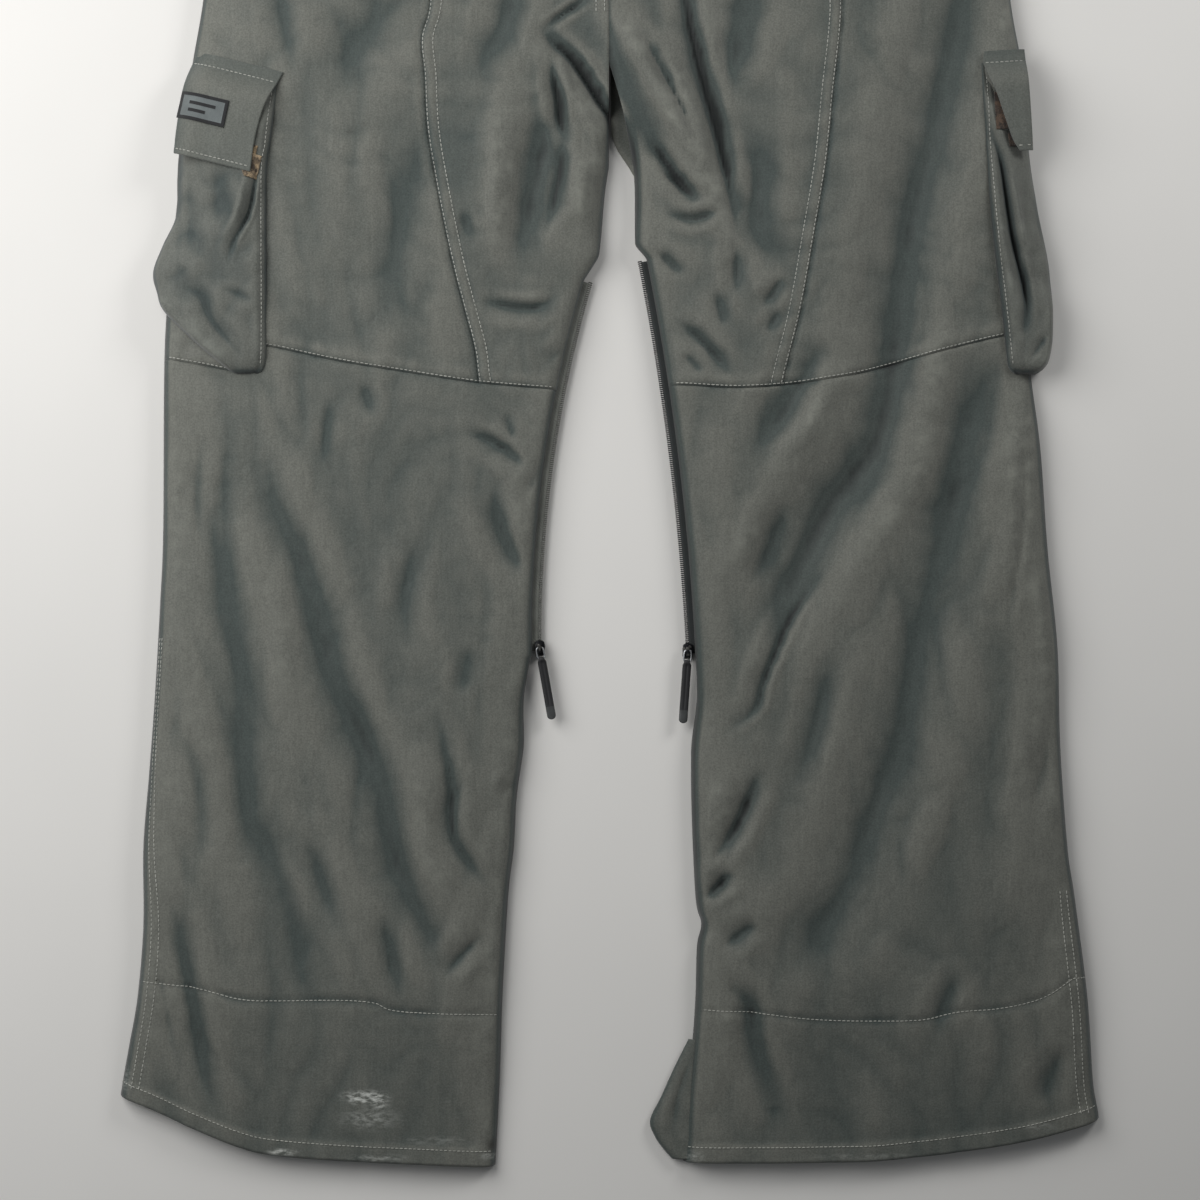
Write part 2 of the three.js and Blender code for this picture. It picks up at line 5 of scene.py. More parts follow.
import bmesh
import bpy
import numpy as np
from bpy.props import FloatProperty, FloatVectorProperty, PointerProperty
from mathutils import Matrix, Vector

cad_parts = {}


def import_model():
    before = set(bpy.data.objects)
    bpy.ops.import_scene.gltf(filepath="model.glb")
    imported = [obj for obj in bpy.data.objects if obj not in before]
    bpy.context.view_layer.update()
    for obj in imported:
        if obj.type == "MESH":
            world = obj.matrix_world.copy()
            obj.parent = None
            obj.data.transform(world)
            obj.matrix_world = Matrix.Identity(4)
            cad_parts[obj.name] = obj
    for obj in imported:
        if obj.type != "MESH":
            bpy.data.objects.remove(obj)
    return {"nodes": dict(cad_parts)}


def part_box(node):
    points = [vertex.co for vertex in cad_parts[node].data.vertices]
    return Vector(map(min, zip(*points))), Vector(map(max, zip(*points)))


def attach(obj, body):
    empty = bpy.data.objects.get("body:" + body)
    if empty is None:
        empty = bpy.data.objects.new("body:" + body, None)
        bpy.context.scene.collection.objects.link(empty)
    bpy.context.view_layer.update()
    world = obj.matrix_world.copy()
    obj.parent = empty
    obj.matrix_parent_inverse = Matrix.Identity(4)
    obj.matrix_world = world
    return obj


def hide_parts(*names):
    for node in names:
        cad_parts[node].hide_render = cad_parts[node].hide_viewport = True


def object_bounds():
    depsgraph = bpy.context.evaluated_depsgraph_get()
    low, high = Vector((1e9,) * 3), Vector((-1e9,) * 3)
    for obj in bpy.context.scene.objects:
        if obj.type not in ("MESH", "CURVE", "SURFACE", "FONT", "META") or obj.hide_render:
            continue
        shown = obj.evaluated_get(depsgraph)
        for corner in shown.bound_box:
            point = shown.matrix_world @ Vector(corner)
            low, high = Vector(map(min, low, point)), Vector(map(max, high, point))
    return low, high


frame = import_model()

bl_info = {
    "name": "Cargo snow trousers",
    "version": (1, 0, 0),
    "blender": (4, 5, 0),
    "location": "3D View > Sidebar > Trousers",
    "description": "Builds snow trousers with cargo pockets and inner-leg vents, laid flat",
    "category": "Object",
}

CAD_BOX = [list(corner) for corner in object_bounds()]
MM = 0.001
SIDES = ("left", "right")
SIGN = {"left": -1, "right": 1}

# Garment sizes in millimetres, measured from the hem and the centre seam.
WAIST_TOP = 1075
WAIST_SEAM = 1035
CROTCH = 791
FRONT_CELL = 6  # spacing of the front panels' mesh, coarse because they lie underneath
STITCH_STEP = 2.0  # spacing of the points along a row of stitches
CENTRE_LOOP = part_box("belt_loop_back_centre")
SHIFT_X = (CENTRE_LOOP[0][0] + CENTRE_LOOP[1][0]) / 2 / MM
SHIFT_Y = CAD_BOX[1][1] / MM - WAIST_TOP

# [Y, X] pairs of each leg's sides and of the seam down each thigh.
OUTER = {
    "left": [
        (0, -350), (50, -344), (85, -338), (120, -332), (170, -328), (225, -328), (276, -324),
        (330, -320), (400, -316), (450, -314), (575, -313), (640, -308), (700, -302),
        (766, -295), (820, -286), (900, -276), (980, -256), (1080, -228),
    ],
    "right": [
        (0, 348), (35, 345), (60, 341), (120, 337), (190, 328), (225, 323), (295, 318),
        (365, 316), (435, 309), (505, 304), (560, 297), (600, 296), (700, 295), (766, 292),
        (820, 283), (900, 275), (980, 256), (1080, 228),
    ],
}
INNER = {
    "left": [
        (0, -80), (60, -77), (120, -75), (190, -71), (225, -67), (260, -65), (295, -60), (330, -56),
        (360, -51),
    ],
    "right": [
        (0, 52), (60, 56), (90, 59), (120, 61), (155, 62), (171, 65), (190, 61), (260, 58),
        (330, 58), (358, 57),
    ],
}
THIGH_SEAM = {
    "left": [
        (500, -82), (552, -91), (575, -94), (602, -101), (637, -110), (686, -120), (728, -127),
        (766, -129), (792, -131), (820, -125), (900, -126), (1080, -132),
    ],
    "right": [
        (500, 112), (553, 122), (602, 134), (658, 144), (707, 152), (756, 157), (801, 162),
        (825, 162), (860, 156), (900, 149), (1080, 138),
    ],
}
# [X, Y] pairs.
KNEE = {
    "left": [
        (-312, 568), (-285, 563), (-263, 559), (-254, 562), (-246, 573), (-239, 576), (-188, 565.5),
        (-142, 558), (-91, 550.5), (-30, 545.5),
    ],
    "right": [
        (0, 549), (50, 549), (88, 547), (122, 549), (169, 556), (204, 565), (274, 583), (330, 592),
    ],
}
HEM = {
    "left": [
        (-352, 54), (-340, 49), (-321, 42), (-290, 28), (-258, 15), (-237, 10), (-190, 6), (-130, 3),
        (-84, 1), (-76, 4),
    ],
    "right": [
        (48, 6), (60, 4), (170, 5), (212, 8), (246, 12), (290, 19), (326, 28), (344, 34), (352, 40),
    ],
}
# Arcs of the inner-leg zips: first point, last point, radius, and the side the centre is on.
VENT = {
    "left": ((-50, 360), (-13, 626), 888, 1),
    "right": ((57, 358), (22, 641), 1942, -1),
}

# Each fold: height, reach to its left, reach to its right, and the points it passes.
FOLDS = {
    "left": [
        (-2.0, 8, 8, [(-232, 850), (-230, 819), (-223, 777), (-218, 756)]),
        (-2.5, 17, 17, [(-130, 850), (-146, 819), (-181, 784), (-185, 742)]),
        (-2.2, 24, 22, [(-122, 760), (-130, 721), (-146, 672), (-158, 630), (-165, 560)]),
        (-2.5, 11, 11, [(-64, 850), (-69, 819), (-83, 784), (-101, 756)]),
        (-3.5, 10, 12, [(-45, 756), (-48, 714), (-62, 651), (-62, 616)]),
        (2.5, 14, 14, [(-76, 777), (-80, 714), (-76, 644), (-66, 609)]),
        (-4.0, 4, 5, [(-44, 786), (-39, 767), (-36, 749), (-34, 732), (-25, 713)]),
        (-2.4, 2.5, 3, [(-48, 796), (-36, 806), (-24, 814), (-12, 822)]),
        (2.6, 9, 9, [(-16, 722), (-17, 690), (-22, 655)]),
        (-3.0, 6, 8, [(-32, 728), (-36, 690), (-46, 650)]),
        (-2.2, 4, 6, [(-94, 609), (-62, 603), (-45, 606), (-34, 616)]),
        (-1.3, 4, 4, [(-104, 672), (-97, 651)]),
        (-1.8, 5, 5, [(-24, 581), (-45, 564)]),
        (-2.8, 4, 7, [(-104, 518), (-76, 507), (-52, 486)]),
        (-1.6, 4, 4, [(-73, 532), (-66, 507)]),
        (-2.2, 5, 5, [(-45, 500), (-59, 469)]),
        (-3.4, 7, 9, [(-83, 483), (-73, 441), (-52, 406)]),
        (-1.6, 6, 6, [(-174, 553), (-164, 525)]),
        (-2.8, 15, 18, [
            (-270, 530), (-268, 448), (-262, 364), (-255, 259), (-237, 217), (-220, 161), (-209, 100),
        ]),
        (-3.8, 11, 17, [
            (-240, 525), (-235, 470), (-208, 404), (-195, 348), (-164, 281), (-153, 225), (-125, 161),
            (-110, 130),
        ]),
        (-2.2, 8, 8, [(-216, 245), (-188, 161)]),
        (-2.2, 7, 8, [(-160, 182), (-146, 119)]),
        (-3.6, 6, 9, [(-122, 330), (-118, 308), (-111, 273), (-108, 231), (-83, 196), (-74, 186)]),
        (-2.4, 4, 5, [(-62, 278), (-76, 259)]),
        (-2.6, 6, 8, [(-87, 168), (-118, 133)]),
        (-3.2, 9, 11, [(-311, 329), (-290, 280), (-286, 238), (-293, 189)]),
        (-3.2, 8, 9, [(-318, 203), (-304, 175), (-293, 119), (-283, 63), (-269, 22)]),
        (-2.0, 6, 7, [(-321, 168), (-300, 59)]),
        (-1.4, 5, 5, [(-195, 542), (-201, 490)]),
        (-1.6, 6, 9, [(-283, 525), (-288, 469), (-283, 427)]),
        (-1.8, 8, 8, [(-132, 455), (-143, 399), (-138, 357)]),
        (-1.6, 7, 7, [(-97, 371), (-104, 329)]),
    ],
    "right": [
        (-3.4, 4, 5, [(26, 725), (38, 708), (52, 690), (64, 676)]),
        (-3.0, 4, 5, [(14, 812), (29, 784), (44, 756), (57, 728), (67, 693)]),
        (-2.2, 4, 5, [(32, 704), (64, 676)]),
        (-2.2, 4, 4, [(36, 672), (57, 665), (83, 673)]),
        (-4.5, 6, 8, [(48, 860), (53, 819), (64, 770), (78, 714), (88, 665), (90, 637)]),
        (-2.6, 12, 12, [(98, 850), (92, 819), (79, 742)]),
        (-3.2, 11, 11, [(88, 721), (102, 700), (102, 658), (123, 630)]),
        (-2.2, 5, 5, [(123, 626), (106, 602)]),
        (-1.6, 4, 5, [(120, 602), (109, 584)]),
        (-2.2, 6, 6, [(88, 651), (90, 609)]),
        (-1.6, 5, 5, [(74, 616), (81, 588)]),
        (-2.2, 5, 5, [(32, 644), (53, 626)]),
        (-3.2, 5, 7, [(43, 598), (64, 581), (88, 553)]),
        (-2.2, 5, 5, [(50, 574), (67, 556)]),
        (-6.0, 18, 22, [
            (252, 860), (246, 819), (235, 770), (225, 721), (214, 679), (204, 630), (198, 580),
            (194, 540), (183, 504), (150, 459), (119, 397), (100, 350),
        ]),
        (-4.0, 10, 14, [(162, 588), (144, 567), (113, 518), (92, 497)]),
        (-5.0, 20, 20, [
            (276, 590), (258, 540), (246, 504), (235, 448), (222, 404), (216, 370), (204, 303),
            (179, 236), (165, 196), (148, 168), (116, 126),
        ]),
        (-3.2, 8, 10, [(127, 476), (109, 427), (92, 406)]),
        (-3.0, 9, 9, [(306, 385), (311, 330), (306, 290), (297, 258), (284, 215)]),
        (-3.4, 2.8, 7, [(156, 430), (148, 416), (127, 385), (109, 343), (102, 322), (74, 301)]),
        (-4.4, 6, 9, [(108, 285), (102, 270), (88, 238), (67, 210)]),
        (-4.2, 5, 7, [(88, 210), (64, 186)]),
        (-2.8, 6, 8, [(106, 175), (78, 154)]),
        (-3.4, 7, 9, [(67, 140), (95, 119), (102, 91), (113, 49), (120, 21)]),
        (2.6, 16, 22, [(288, 553), (281, 441), (309, 371), (302, 315), (295, 259), (284, 210), (277, 147)]),
        (-2.2, 8, 8, [(319, 91), (302, 42)]),
        (-2.0, 8, 9, [(155, 371), (144, 308), (127, 259)]),
        (-1.8, 7, 7, [(246, 147), (225, 91)]),
        (-1.4, 3, 4, [(290, 530), (289, 455), (284, 410), (276, 370)]),
    ],
}
# These run across the line where the legs meet, so both legs follow them.
CENTRE_FOLDS = [
    (-6.6, 4.5, 7, [(-56, 808), (-44, 794), (-36, 786), (-24, 775), (-9, 752), (3, 732), (7, 712), (7, 680)]),
    (4.6, 14, 13, [(-14, 840), (-6, 822), (14, 792), (42, 742), (66, 703), (86, 668)]),
]
POCKET_FOLDS = {
    "left": [
        (-5.5, 1.8, 3.6, [(-244, 722), (-244, 712), (-246, 693), (-251, 668), (-262, 646), (-266, 626)]),
        (2.2, 9, 6, [(-252, 700), (-258, 672), (-270, 648)]),
        (-3.0, 7, 7, [(-293, 712), (-293, 630)]),
        (-2.6, 7, 7, [(-274, 712), (-274, 651)]),
        (-1.6, 3, 4, [(-272, 617), (-244, 606)]),
        (-3.0, 5, 6, [(-307, 621), (-286, 611), (-276, 591), (-251, 563)]),
        (2.0, 10, 10, [(-283, 640), (-300, 628)]),
    ],
    "right": [
        (-8.0, 3, 4.5, [(263, 748), (268, 722), (274, 700), (282, 651), (290, 616), (291, 596), (284, 572)]),
        (-7.0, 5, 6, [(264, 774), (271, 754), (280, 732), (288, 712)]),
        (2.4, 5, 5, [(280, 702), (289, 655), (298, 614)]),
        (-1.8, 4, 4, [(296, 690), (304, 640)]),
        (-1.8, 2, 3, [(309, 588), (299, 574), (291, 562)]),
    ],
}


# ---------------------------------------------------------------- lines and noise


def smooth_line(points, steps=12):
    """A Catmull-Rom line through the points."""
    p = np.array(points, float)
    ends = np.vstack([2 * p[0] - p[1], p, 2 * p[-1] - p[-2]])
    t = np.linspace(0, 1, steps, endpoint=False)[:, None]
    runs = []
    for a, b, c, d in zip(ends, ends[1:], ends[2:], ends[3:]):
        runs.append(
            0.5 * (2 * b + (c - a) * t + (2 * a - 5 * b + 4 * c - d) * t**2 + (3 * b - a - 3 * c + d) * t**3)
        )
    return np.vstack(runs + [p[-1:]])


def reader(points):
    """A function that reads the smooth line's second number at a first number."""
    line = smooth_line(points)
    return lambda t: np.interp(t, line[:, 0], line[:, 1])


def step(t, start=0.0, end=1.0):
    t = np.clip((t - start) / (end - start), 0, 1)
    return t * t * (3 - 2 * t)


def always(value):
    """A line that has the same value everywhere."""
    return lambda t: 0 * t + value


def rounded(d, reach):
    """0 at an edge, 1 beyond reach, with a round shoulder between."""
    return np.sqrt(np.clip(1 - (1 - np.clip(d / reach, 0, 1)) ** 2, 0, 1))


def noise(x, y, seed):
    """Gradient noise from about -1 to 1, the same on each run."""
    ix, iy = np.floor(x).astype(np.int64), np.floor(y).astype(np.int64)
    fx, fy = x - ix, y - iy

    def pull(cx, cy):
        h = (ix + cx) * 374761393 + (iy + cy) * 668265263 + seed * 1442695041
        h = ((h ^ (h >> 13)) * 1274126177) & 0xFFFFFFFF
        turn = ((h ^ (h >> 16)) & 0xFFFF) * (2 * math.pi / 65536)
        return np.cos(turn) * (fx - cx) + np.sin(turn) * (fy - cy)

    sx, sy = step(fx), step(fy)
    low = pull(0, 0) * (1 - sx) + pull(1, 0) * sx
    high = pull(0, 1) * (1 - sx) + pull(1, 1) * sx
    return 1.5 * (low * (1 - sy) + high * sy)


def creased(x, y, seed):
    """Noise with sharp low lines, like crumpled cloth."""
    return np.abs(noise(x, y, seed)) * 2 - 0.6


def fold(x, y, height, left, right, points):
    """A ridge or furrow along a line: it fades at its ends, and cloth wells up beside a furrow."""
    line = smooth_line(points, 6)
    reach = 3.2 * max(left, right)
    low, high = line.min(0) - reach, line.max(0) + reach
    near = (x > low[0]) & (x < high[0]) & (y > low[1]) & (y < high[1])
    out = np.zeros_like(x)
    if not near.any():
        return out
    px, py = x[near], y[near]
    best = np.full(px.shape, 1e9)
    side = np.zeros_like(px)
    place = np.zeros_like(px)
    run = 0.0
    for (ax, ay), (bx, by) in zip(line[:-1], line[1:]):
        dx, dy = bx - ax, by - ay
        length = math.hypot(dx, dy)
        t = np.clip(((px - ax) * dx + (py - ay) * dy) / length**2, 0, 1)
        gap = np.hypot(px - ax - t * dx, py - ay - t * dy)
        closer = gap < best
        best = np.where(closer, gap, best)
        turn = dx * (py - ay) - dy * (px - ax)
        side = np.where(closer, turn, side)
        place = np.where(closer, run + t * length, place)
        run += length
    width = np.where(side > 0, left, right)
    fade = min(0.42 * run, 70)
    ends = step(place / fade) * step((run - place) / fade)
    across = best / width
    core = 0.6 if min(left, right) < 7 else 0.12
    shape = core * np.exp(-((2.2 * across) ** 1.5)) + (1 - core) * np.exp(-(across**1.7))
    shape = shape - 0.26 * np.exp(-(((across - 2.0) / 0.8) ** 2))
    out[near] = height * shape * ends
    return out


# ---------------------------------------------------------------- the garment's shape


def vent_arc(side):
    (ax, ay), (bx, by), radius, out = VENT[side]
    half = math.hypot(bx - ax, by - ay) / 2
    reach = math.sqrt(radius**2 - half**2)
    nx, ny = (by - ay) / (2 * half) * out, (ax - bx) / (2 * half) * out
    cx, cy = (ax + bx) / 2 + nx * reach, (ay + by) / 2 + ny * reach
    start = math.atan2(ay - cy, ax - cx)
    end = math.atan2(by - cy, bx - cx)
    if out > 0:
        start, end = start % (2 * math.pi), end % (2 * math.pi)
    return cx, cy, radius, start, end


ARC = {side: vent_arc(side) for side in SIDES}
outer_line = {side: reader(OUTER[side]) for side in SIDES}
inner_low = {side: reader(INNER[side]) for side in SIDES}
seam_line = {side: reader(THIGH_SEAM[side]) for side in SIDES}
knee_line = {side: reader(KNEE[side]) for side in SIDES}
hem_line = {side: reader(HEM[side]) for side in SIDES}


def inner_line(side, y):
    """X of a leg's inner side: the inseam, then the vent's arc, then up to the crotch."""
    cx, cy, radius, _, _ = ARC[side]
    (_, low), (top_x, top), _, out = VENT[side]
    y = np.asarray(y, float)
    arc = cx - out * np.sqrt(radius**2 - (np.clip(y, low, top) - cy) ** 2)
    if side == "left":
        rise = np.clip((y - top) / 78, 0, 1)
    else:
        rise = np.clip((y - top) / 134, 0, 1) ** 2
    upper = top_x + (0.02 * SIGN[side] - top_x) * rise
    return np.where(y < low, inner_low[side](y), np.where(y < top, arc, upper))


def cloth_inner(side, y):
    """The cloth ends a little short of the zip."""
    y = np.asarray(y, float)
    top = VENT[side][1][1]
    beside = step(y, 290, 335) * step(-y, -top - 8, -top + 4)
    begin = top + (4 if side == "left" else -3)
    cover = step(y, begin, begin + 12) * step(-y, -top - 70, -top - 10)
    return inner_line(side, y) + SIGN[side] * (3.9 * beside - 3.6 * cover)


def crown(side, x, y):
    """Height of the back layer before any fold."""
    from_outer = np.maximum(SIGN[side] * (outer_line[side](y) - x), 0)
    from_inner = np.maximum(SIGN[side] * (x - cloth_inner(side, y)), 0)
    seat = step(y, 706, 748)
    full = 12.6 + 6.4 * step(y, 10, 150) + 1.5 * step(y, 500, 760) - 2.5 * step(y, 900, WAIST_SEAM)
    outer = 0.55 * rounded(from_outer, 11) + 0.45 * rounded(from_outer, 62)
    inner = 0.5 * rounded(from_inner, 9) + 0.5 * rounded(from_inner, 54)
    inner = inner + (1 - inner) * seat
    beside = step(y, 290, 350) * step(-y, -VENT[side][1][1] - 40, -VENT[side][1][1])
    low = np.where(from_outer < from_inner, 1.4, 1.6 + 8.6 * beside)
    return low + (full - low) * outer * inner


def seam_dent(side, x, y):
    """Furrows and puckers along the seams, in millimetres."""
    over_knee = y - knee_line[side](x)
    inward = SIGN[side] * (seam_line[side](y) - x)
    above = step(over_knee, -4, 4)
    pucker = noise(y / 7.0, x / 60, 41) * 0.5
    dent = -(1.4 + pucker) * np.exp(-(((inward + 0.9) / 1.6) ** 2)) * above
    dent = dent + (0.9 + noise(y / 9, x / 30, 42) * 0.7) * np.exp(-(((inward - 4.6) / 3.4) ** 2)) * above
    dent = dent - (0.5 + pucker) * np.exp(-(((inward - 8.4) / 1.5) ** 2)) * above
    pucker = noise(x / 7.0, y / 60, 43) * 0.6
    dent = dent - (0.8 + pucker) * np.exp(-((over_knee / 1.6) ** 2))
    dent = dent + (0.8 + noise(x / 9, y / 30, 44) * 0.7) * np.exp(-(((over_knee - 6) / 5) ** 2))
    centre = np.exp(-((x / 2.2) ** 2)) * step(y, CROTCH - 10, CROTCH + 25)
    dent = dent - (1.3 + noise(y / 8, x / 50, 45) * 0.5) * centre
    row = y - gaiter_row[side](x)
    dent = dent - (0.9 + noise(x / 8, y / 50, 46) * 0.6) * np.exp(-((row / 3) ** 2))
    over_hem = y - hem_line[side](x)
    dent = dent + 0.9 * step(-over_hem, -13.5, -12) + 0.5 * noise(x / 10, y / 40, 47) * step(-over_hem, -22, -4)
    return dent


GAITER_ROW = {
    "left": [
        (-330, 132), (-286, 127), (-251, 119), (-188, 119), (-164, 117), (-146, 111), (-76, 108),
    ],
    "right": [
        (60, 112), (102, 110), (150, 105), (215, 105), (245, 111), (272, 113), (302, 120), (325, 134),
    ],
}
gaiter_row = {side: reader(GAITER_ROW[side]) for side in SIDES}


def wrinkles(side, x, y):
    """Small unplanned creases, longer down the leg than across it."""
    seed = 3 if side == "left" else 8
    wx = x + 9 * noise(x / 46, y / 60, seed + 20)
    wy = y + 12 * noise(x / 50, y / 70, seed + 21)
    broad = 1.6 * noise(wx / 52, wy / 130, seed)
    middle = 1.0 * creased(wx / 30, wy / 78, seed + 1)
    cross = 0.5 * creased(wx / 70, wy / 24, seed + 2) * step(y, 420, 560)
    small = 0.2 * creased(wx / 11, wy / 17, seed + 3)
    tiny = 0.1 * noise(wx / 4.2, wy / 6.0, seed + 4)
    return broad + middle + cross + small + tiny


def back_height(side, x, y):
    """Top of the back layer over the table."""
    z = crown(side, x, y)
    from_outer = SIGN[side] * (outer_line[side](y) - x)
    from_inner = SIGN[side] * (x - cloth_inner(side, y))
    seat = step(y, 704, 735)
    calm = step(from_outer, -1, 16) * np.maximum(step(from_inner, -1, 14), seat)
    near = 0.5 * (1 - step(np.abs(x), 0, 45)) * step(y, 690, 735)
    shaped = wrinkles(side, x, y) * (1 - near)
    if near.max() > 0:
        shaped = shaped + wrinkles("right" if side == "left" else "left", x, y) * near
    for height, *rest in FOLDS[side] + CENTRE_FOLDS:
        shaped = shaped + fold(x, y, height * (1.8 if rest[-1][0][1] > 600 else 1.4), *rest)
    shaped = shaped + seam_dent(side, x, y)
    z = z + shaped * (0.12 + 0.88 * calm)
    over_gaiter = step(-y, -118, -106) * step(y, 38, 44) * step(from_outer, 16, 40) * step(from_inner, 12, 26)
    floor = 1.3 + 10.2 * over_gaiter
    return floor + np.logaddexp(0, (z - floor) * 1.6) / 1.6


# ---------------------------------------------------------------- meshes


def world(points):
    """Garment millimetres to metres in the frame."""
    out = np.array(points, float)
    out[..., 0] += SHIFT_X
    out[..., 1] += SHIFT_Y
    return out * MM


def garment_box(node):
    """A CAD node's box in garment millimetres."""
    low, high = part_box(node)
    shift = np.array((SHIFT_X, SHIFT_Y, 0))
    return np.array(low) / MM - shift, np.array(high) / MM - shift


def new_mesh(name, verts, faces, **layers):
    """A smooth-shaded object from corner places in metres and a list of faces."""
    mesh = bpy.data.meshes.new(name)
    mesh.from_pydata(verts, [], faces)
    mesh.polygons.foreach_set("use_smooth", np.ones(len(mesh.polygons), bool))
    for key, values in layers.items():
        layer = mesh.attributes.new(key, "FLOAT", "POINT")
        layer.data.foreach_set("value", np.asarray(values, np.float32))
    mesh.validate()
    mesh.update()
    return linked(name, mesh)


def blurred(z, turns):
    for _ in range(turns):
        p = np.pad(z, 1, mode="edge")
        z = (p[:-2, 1:-1] + p[2:, 1:-1] + p[1:-1, :-2] + p[1:-1, 2:] + 4 * p[1:-1, 1:-1]) / 8
    return z


def hollow_of(x, z):
    """Painted shade from a height grid: positive in furrows and on slopes that face left, away from the key
    light, and negative on ridges.
    """
    lean = np.gradient(blurred(z, 3), axis=1) / np.maximum(np.gradient(x, axis=1), 1e-6)
    fine = (blurred(z, 14) - z) * 0.24 + np.clip(lean, -0.5, 0.5) * 0.34
    broad = (blurred(z[::3, ::3], 30) - z[::3, ::3]) * 0.13
    rows = np.linspace(0, broad.shape[0] - 1, z.shape[0])
    columns = np.linspace(0, broad.shape[1] - 1, z.shape[1])
    r0, c0 = rows.astype(int), columns.astype(int)
    r1, c1 = np.minimum(r0 + 1, broad.shape[0] - 1), np.minimum(c0 + 1, broad.shape[1] - 1)
    fr, fc = (rows - r0)[:, None], (columns - c0)[None, :]
    top = broad[r0][:, c0] * (1 - fc) + broad[r0][:, c1] * fc
    low = broad[r1][:, c0] * (1 - fc) + broad[r1][:, c1] * fc
    return np.clip(fine + top * (1 - fr) + low * fr, -1, 1)


# Worn or marked places: X, Y, reach across, reach lengthwise, strength (pale is positive, dark negative).
MARKS = (
    (-171, 51, 11, 3.2, 2.6), (-160, 47, 4, 3, 1.6), (-168, 36, 18, 7, 0.55), (-229, 12, 8, 2.0, 1.5),
    (-163, 8, 18, 2.2, 0.7), (-82, 16, 4, 5, -1.4), (-84, 9, 5, 3, 0.9), (-181, 726, 3.2, 2.2, -0.7),
    (-171, 731, 2.6, 1.8, -0.55), (-120, 20, 30, 3, 0.3), (180, 9, 40, 2, 0.35), (300, 30, 12, 3, 0.4),
    (60, 8, 6, 4, 0.5), (-340, 62, 5, 10, 0.35), (96, 176, 5, 4, -0.35),
)


def wear_of(x, y):
    total = 0 * x
    for cx, cy, rx, ry, strength in MARKS:
        total = total + strength * np.exp(-(((x - cx) / rx) ** 2) - ((y - cy) / ry) ** 2)
    return total


def shell(name, top, under, depth=1.0):
    """A closed sheet from two matching grids of points in garment millimetres."""
    rows, columns = top.shape[:2]
    count = rows * columns
    verts = world(np.vstack([top.reshape(-1, 3), under.reshape(-1, 3)]))
    index = np.arange(count).reshape(rows, columns)
    a, b = index[:-1, :-1].ravel(), index[:-1, 1:].ravel()
    c, d = index[1:, 1:].ravel(), index[1:, :-1].ravel()
    upper = np.stack([a, b, c, d], 1)
    lower = np.stack([d, c, b, a], 1) + count
    ring = np.concatenate([index[0, :-1], index[:-1, -1], index[-1, :0:-1], index[:0:-1, 0]])
    following = np.roll(ring, -1)
    rim = np.stack([following, ring, ring + count, following + count], 1)
    # Painted shade: the cloth material darkens furrows and left-facing slopes by this attribute.
    hollow = depth * hollow_of(top[..., 0], top[..., 2]).ravel()
    faces = np.vstack([upper, lower, rim]).tolist()
    wear = wear_of(top[..., 0], top[..., 1]).ravel()
    return new_mesh(
        name, verts.tolist(), faces,
        hollow=np.concatenate([hollow, hollow * 0]), wear=np.concatenate([wear, wear * 0]),
    )


def grid(left, right, bottom, top, across, lengthwise):
    """X and Y of a grid between two side lines and two end lines."""
    u, v = np.meshgrid(np.linspace(0, 1, across + 1), np.linspace(0, 1, lengthwise + 1))
    y = bottom(0 * u) * (1 - v) + top(0 * u) * v
    for _ in range(12):
        x = left(y) * (1 - u) + right(y) * u
        y = bottom(x) * (1 - v) + top(x) * v
    return x, y


def sheet_from(name, x, y, z, thick, depth=1.0):
    """A closed sheet under a height grid; depth scales its painted shade in furrows and on left-facing slopes.
    """
    thin = np.minimum(thick, z - 0.2)
    top = np.stack([x, y, z], -1)
    under = np.stack([x, y, z - thin], -1)
    return shell(name, top, under, depth)


def finished(piece, *modifiers):
    """Applies modifiers, given as (kind, settings), and leaves a plain mesh."""
    for kind, settings in modifiers:
        modifier = piece.modifiers.new(kind.title(), kind)
        for key, value in settings.items():
            setattr(modifier, key, value)
    graph = bpy.context.evaluated_depsgraph_get()
    mesh = bpy.data.meshes.new_from_object(piece.evaluated_get(graph))
    piece.modifiers.clear()
    old = piece.data
    piece.data = mesh
    bpy.data.meshes.remove(old)
    mesh.name = piece.name
    return piece


def soft_edges(piece, width):
    """Rounds the cut edges of a small sheet."""
    return finished(piece, ("BEVEL", {
        "width": width * MM, "segments": 3, "limit_method": "ANGLE", "angle_limit": math.radians(48),
    }))


def linked(name, data):
    """A new object in the scene."""
    made = bpy.data.objects.new(name, data)
    bpy.context.scene.collection.objects.link(made)
    return made


def meshed(holder, name):
    """Turns a curve object into a smooth-shaded mesh object."""
    graph = bpy.context.evaluated_depsgraph_get()
    mesh = bpy.data.meshes.new_from_object(holder.evaluated_get(graph))
    bpy.data.objects.remove(holder)
    mesh.name = name
    mesh.polygons.foreach_set("use_smooth", np.ones(len(mesh.polygons), bool))
    return linked(name, mesh)


def dress(piece, material):
    piece.data.materials.clear()
    piece.data.materials.append(material)
    return piece


def declare(piece, body, nodes):
    """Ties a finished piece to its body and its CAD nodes."""
    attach(piece, body)
    if nodes:
        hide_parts(*nodes)
    return piece


# ---------------------------------------------------------------- materials


